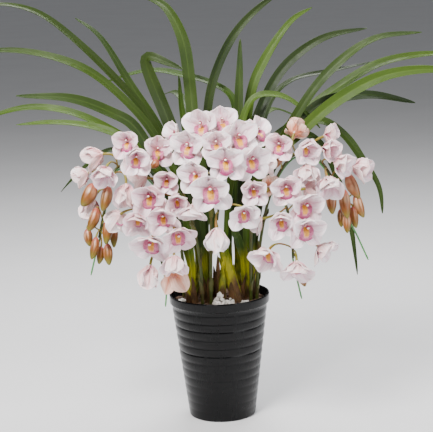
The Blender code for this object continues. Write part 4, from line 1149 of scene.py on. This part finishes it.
def add_petal(shape, matrix, kind, angle, length, lean, behind, tint):
    """One sepal or petal, each a little different from its neighbours."""
    draw = shape.random.uniform
    bends = lean + np.array(kind.lean) + np.array([draw(-spread, spread) for spread in LEAN_SPREAD])
    long = length * kind.length * draw(0.95, 1.05)
    wide = length * kind.width * draw(0.94, 1.06)
    angle = math.radians(angle + draw(-6, 6))
    points = petal_points(long, wide, angle, np.minimum(bends, MOST_LEAN), kind.cup, draw)
    points[:, :, 2] += kind.depth
    shape.sheet(carried(matrix, points), PETAL_THICKNESS, behind, FRONT, tint=tint + draw(-0.04, 0.04))


def lip_points(size, open_up, draw):
    """The lip: a trough whose sides stand up round the column, then a ruffled lobe that curls down."""
    u, v = grid(*LIP_GRID)
    bend = math.radians(62) - math.radians(150) * np.clip(u - 0.25, 0, 1) * open_up
    step = size / (len(u) - 1)
    forward = np.concatenate([[[0]], np.cumsum(np.sin(bend[1:]), axis=0)]) * step
    down = np.concatenate([[[0]], np.cumsum(np.cos(bend[1:]), axis=0)]) * step
    trough = np.clip(1 - u / 0.62, 0, 1) ** 0.7
    lobe = np.exp(-((u - 0.80) / 0.20) ** 2)
    half = size * (0.12 + 0.34 * np.sin(math.pi * np.clip(u / 0.66, 0, 1)) ** 0.8 + 0.30 * lobe)
    half = half * np.sqrt(np.clip((1.02 - u) / 0.20, 0, 1))
    wrap = 1.9 * trough
    arc = np.where(wrap > 0.05, np.sin(wrap * v) / np.maximum(wrap, 0.05), v)
    rise = np.where(wrap > 0.05, (1 - np.cos(wrap * v)) / np.maximum(wrap, 0.05), 0 * v)
    ruffle = 0.16 * np.sin(9 * v + 6 * u + draw(0, 6)) * np.abs(v) ** 3 * (0.3 + lobe)
    fold = -0.30 * v**2 * lobe
    ridge = 0.14 * np.exp(-((np.abs(v) - 0.16) / 0.09) ** 2) * np.clip(1 - u / 0.7, 0, 1)
    lift = half * (rise + ruffle + fold + ridge)
    return np.stack([-half * arc, -down + np.sin(bend) * lift, forward + np.cos(bend) * lift], axis=-1)


def add_column(shape, size, matrix):
    """The column arches over the lip and ends in its white cap."""
    t = np.linspace(0, 1, 12)
    route = np.stack([0 * t, size * (0.06 + 0.10 * np.sin(t * 2.2)), size * 0.62 * t], axis=-1)
    radii = size * (0.085 + 0.035 * t) * np.sqrt(np.clip((1.04 - t) / 0.12, 0.1, 1))
    shape.tube(carried(matrix, route), radii, 12, COLUMN)
    tip = route[-1] + np.array((0, -size * 0.02, size * 0.015))
    cap = ball_rings(9, 14, 0.15) * np.array((0.080, 0.066, -0.066)) * size + tip
    shape.loft(carried(matrix, cap), CAP)


def add_stalk(shape, stem, place, look, number, end_radii, back):
    """The stalk from the stem into the back of a flower or bud; it thickens into the ovary."""
    heart = np.array(place)
    look = np.array(look)
    nearest = int(np.argmin(np.linalg.norm(stem - heart, axis=1)))
    root = stem[max(nearest - 1 - number % 4, 0)]
    bend = heart - look * STALK_BEND
    end = heart - look * back
    t = np.linspace(0, 1, STALK_ROWS)[:, None]
    route = root * (1 - t) ** 2 + bend * 2 * t * (1 - t) + end * t**2
    swell = np.clip((t.ravel() - 0.45) / 0.4, 0, 1)
    thin, thick = end_radii
    radii = thin + (thick - thin) * swell * swell * (3 - 2 * swell)
    shape.tube(route, radii, STALK_SIDES, STALK)


def letter_sum(name):
    return sum(ord(letter) for letter in name)


def make_flower(name, number, flower, stem, materials, node, blush_and_shade):
    """An open or half-open flower: three sepals behind, two petals, the lip and the column."""
    shape = Shape(letter_sum(name) * 7 + number)
    draw = shape.random.uniform
    look = facing(flower.turn, flower.tilt)
    matrix = aimed(Vector(flower.place), look, math.radians(draw(-8, 8)))
    radius = flower.span / 2
    lean = np.array(OPEN_LEAN) + np.array(CUPPED_LEAN) * flower.cup
    length = min(radius * PETAL_REACH / np.cos(np.radians(lean)).mean(), LONGEST_PETAL)
    # The spike's painted shade pink, with a little random tone.
    tint = blush_and_shade + draw(-0.05, 0.08)
    turned_away = abs(flower.turn) > TURNED_AWAY
    behind = FLUSHED_BACK if turned_away else BACK
    for kind in PETAL_KINDS:
        for angle in kind.angles:
            add_petal(shape, matrix, kind, angle, length, lean, behind, tint)
    lip_share = HIDDEN_LIP_SHARE if turned_away else LIP_SHARE
    lip = lip_points(radius * lip_share, 1.0 - 0.5 * flower.cup, draw)
    lip[:, :, 1] -= radius * 0.04
    shape.sheet(carried(matrix, lip), PETAL_THICKNESS, LIP, LIP)
    add_column(shape, radius * COLUMN_SHARE, matrix)
    add_stalk(shape, stem, flower.place, look, number, FLOWER_STALK_RADII, 0.0006)
    shape.finish(name, materials, [node])


def make_bud(name, number, bud, stem, materials, node, lateness):
    """A closed bud: a smooth pointed egg of three sepals. The later it opens, the greener it is."""
    shape = Shape(letter_sum(name) * 5 + number)
    look = facing(bud.turn, bud.tilt)
    t = np.linspace(0.02, 0.985, BUD_ROWS)[:, None]
    angles = circle_angles(BUD_SIDES)
    profile = np.sin(math.pi * t ** 0.90) ** 0.58 * (1 - 0.12 * t)
    seam = 1 - 0.07 * np.clip(np.cos(3 * angles), 0, 1) ** 6
    bow = bud.length * 0.06 * np.sin(math.pi * t)
    rings = np.stack([profile * seam * np.cos(angles) * bud.width / 2,
                      profile * seam * np.sin(angles) * bud.width / 2 - bow,
                      (t - 0.5) * bud.length * np.ones(BUD_SIDES)], axis=-1)
    matrix = aimed(Vector(bud.place), look)
    shape.loft(carried(matrix, rings), 0, tint=shape.random.uniform(0.0, 0.12) + 0.35 * lateness)
    add_stalk(shape, stem, bud.place, look, number + 2, BUD_STALK_RADII, bud.length * 0.46)
    shape.finish(name, materials, [node])


# ---------------------------------------------------------------- stems and wires

def add_bract(shape, here, ahead, turn, length):
    """A small pointed bract that hugs the stem at a joint."""
    u, v = grid(*BRACT_GRID, BRACT_END)
    ahead = unit(ahead)
    side = unit(np.cross(ahead, (0.2, 1.0, 0.1)))
    up = np.cross(ahead, side)
    wrap = 2.4 * (1 - u) ** 0.6 * v + turn
    spread = STEM_RADIUS * (1.25 + 0.9 * u**2)
    points = (here + ahead * (u * (1 - 0.3 * v**2) * length)[:, :, None]
              + side * (np.cos(wrap) * spread)[:, :, None] + up * (np.sin(wrap) * spread)[:, :, None])
    shape.sheet(points, BRACT_THICKNESS, 1, 1)


def make_stem(index, stem, materials):
    """The stem itself, thicker at its foot, with a ring and a bract at each joint."""
    shape = Shape(STEM_SEED + index)
    radii = STEM_RADIUS * (1.0 - STEM_TAPER * np.linspace(0, 1, len(stem)))
    joints = [int(share * len(stem)) for share in STEM_JOINTS]
    radii[joints] *= JOINT_SWELL
    shape.tube(stem, radii, 16, 0)
    ahead = np.gradient(stem, axis=0)
    for order, joint in enumerate(joints):
        turn = order * math.pi + index
        add_bract(shape, stem[joint], ahead[joint], turn, BRACT_LENGTH - BRACT_SHRINK * order)
    shape.finish(f"spike_stem_{index + 1}", materials, [f"flower_spike_{index + 1}"])


def wire_route(index):
    """Each wire keeps behind its stem while that stands, and under it where it arches over, as in part.py."""
    bare = [Vector(p) for p in SPIKE_STEMS[index] + WIRE_ENDS[index]]
    route = []
    for here, before, after in zip(bare, bare[:1] + bare, bare[1:] + bare[-1:]):
        along = (after - before).normalized()
        side = Vector(WIRE_SIDE)
        side = (side - along * side.dot(along)).normalized()
        route.append(here + side * WIRE_SETBACK)
    return route


def make_wire(index, material):
    """A plastic-coated wire with its end cut off narrower."""
    shape = Shape(WIRE_SEED + index)
    radii = np.full(WIRE_ROWS, WIRE_RADIUS)
    radii[-1] *= 0.6
    shape.tube(smooth_route(wire_route(index), WIRE_ROWS), radii, 12, 0)
    shape.finish(f"wire_{index + 1}", [material], [f"training_wire_{index + 1}"])


# ---------------------------------------------------------------- the whole plant

def make_greenery():
    """The shoots, the old sheaths round them, and the leaves, in three shades of green by turns."""
    leaf_looks = [leaf_look(name, shade) for name, shade in LEAF_SHADES.items()]
    sheath = sheath_look()
    for index, shoot in enumerate(SHOOTS):
        make_shoot(index, shoot, sheath)
    make_dry_sheaths(sheath)
    for index, leaf in enumerate(LEAVES):
        make_leaf(index, leaf, leaf_looks)


def make_spikes():
    """Each spike's stem, its flowers and its buds. The lowest buds of a spike open last."""
    front = petal_look("petal_front", (0.94, 0.87, 0.88), (0.66, 0.24, 0.37), 0.85, 0.42)
    back = petal_look("petal_back", (0.94, 0.86, 0.85), (0.64, 0.22, 0.22), 0.90, 0.46)
    flushed_back = petal_look("petal_back_flushed", (0.84, 0.62, 0.52), (0.50, 0.16, 0.08), 1.6, 0.46)
    stem_green = stalk_look("stem_skin", (0.040, 0.056, 0.006), (0.050, 0.020, 0.008))
    stalk = stalk_look("flower_stalk", (0.20, 0.18, 0.020), (0.24, 0.040, 0.018))
    bract = stalk_look("bract", (0.060, 0.070, 0.008), (0.075, 0.036, 0.012))
    flower_looks = [front, back, lip_look(), column_look(), anther_look(), stalk, flushed_back]
    bud_looks = [bud_look()] * STALK + [stalk]
    for index, route in enumerate(SPIKE_STEMS):
        node = f"flower_spike_{index + 1}"
        stem = smooth_route(route, STEM_ROWS)
        make_stem(index, stem, [stem_green, bract])
        bearing = stem[STEM_BARE_ROWS:]
        for number, flower in enumerate(FLOWERS[index]):
            name = f"flower_{index + 1}_{number + 1:02d}"
            make_flower(name, number, flower, bearing, flower_looks, node, SPIKE_SHADE_PINK[index])
        heights = [bud.place[2] for bud in BUDS[index]]
        for number, bud in enumerate(BUDS[index]):
            lateness = (max(heights) - bud.place[2]) / BUD_DROP
            make_bud(f"bud_{index + 1}_{number + 1}", number, bud, bearing, bud_looks, node, lateness)


def make_wires():
    material = wire_look()
    for index, ends in enumerate(WIRE_ENDS):
        if ends:
            make_wire(index, material)


# ---------------------------------------------------------------- room

def make_floor():
    reach = FLOOR_REACH
    corners = [(-reach, -reach, 0), (reach, -reach, 0), (reach, reach, 0), (-reach, reach, 0)]
    floor = new_object("floor", new_mesh("floor", corners, [(0, 1, 2, 3)]))
    floor.data.materials.append(floor_look())
    floor.location.z = -FLOOR_DROP


def make_lights():
    for name, (place, size, power, colour) in LAMPS.items():
        lamp = bpy.data.lights.new(name, "AREA")
        lamp.energy = power
        lamp.size = size
        lamp.color = colour
        item = new_object(name, lamp)
        item.location = place
        item.rotation_euler = (Vector(LIT_POINT) - Vector(place)).to_track_quat("-Z", "Y").to_euler()
    world = bpy.data.worlds.new("studio")
    world.use_nodes = True
    background = world.node_tree.nodes["Background"]
    background.inputs["Color"].default_value = SKY_COLOUR
    background.inputs["Strength"].default_value = SKY_STRENGTH
    bpy.context.scene.world = world


def make_camera():
    camera = bpy.data.cameras.new("photo_view")
    camera.lens = CAMERA_LENS
    camera.sensor_width = SENSOR_WIDTH
    item = new_object("photo_view", camera)
    level = Matrix.Rotation(math.pi / 2 - CAMERA_PITCH, 4, "X")
    item.matrix_world = Matrix.Translation(CAMERA_PLACE) @ level @ Matrix.Rotation(-CAMERA_ROLL, 4, "Z")
    bpy.context.scene.camera = item


make_camera()
make_lights()
make_floor()
make_pot(pot_look())
bark = bark_look()
make_mix_bed(bark)
make_bark_chips(bark)
pumice = pumice_look()
make_stones(pumice)
make_pumice_bits(pumice)
make_greenery()
make_spikes()
make_wires()
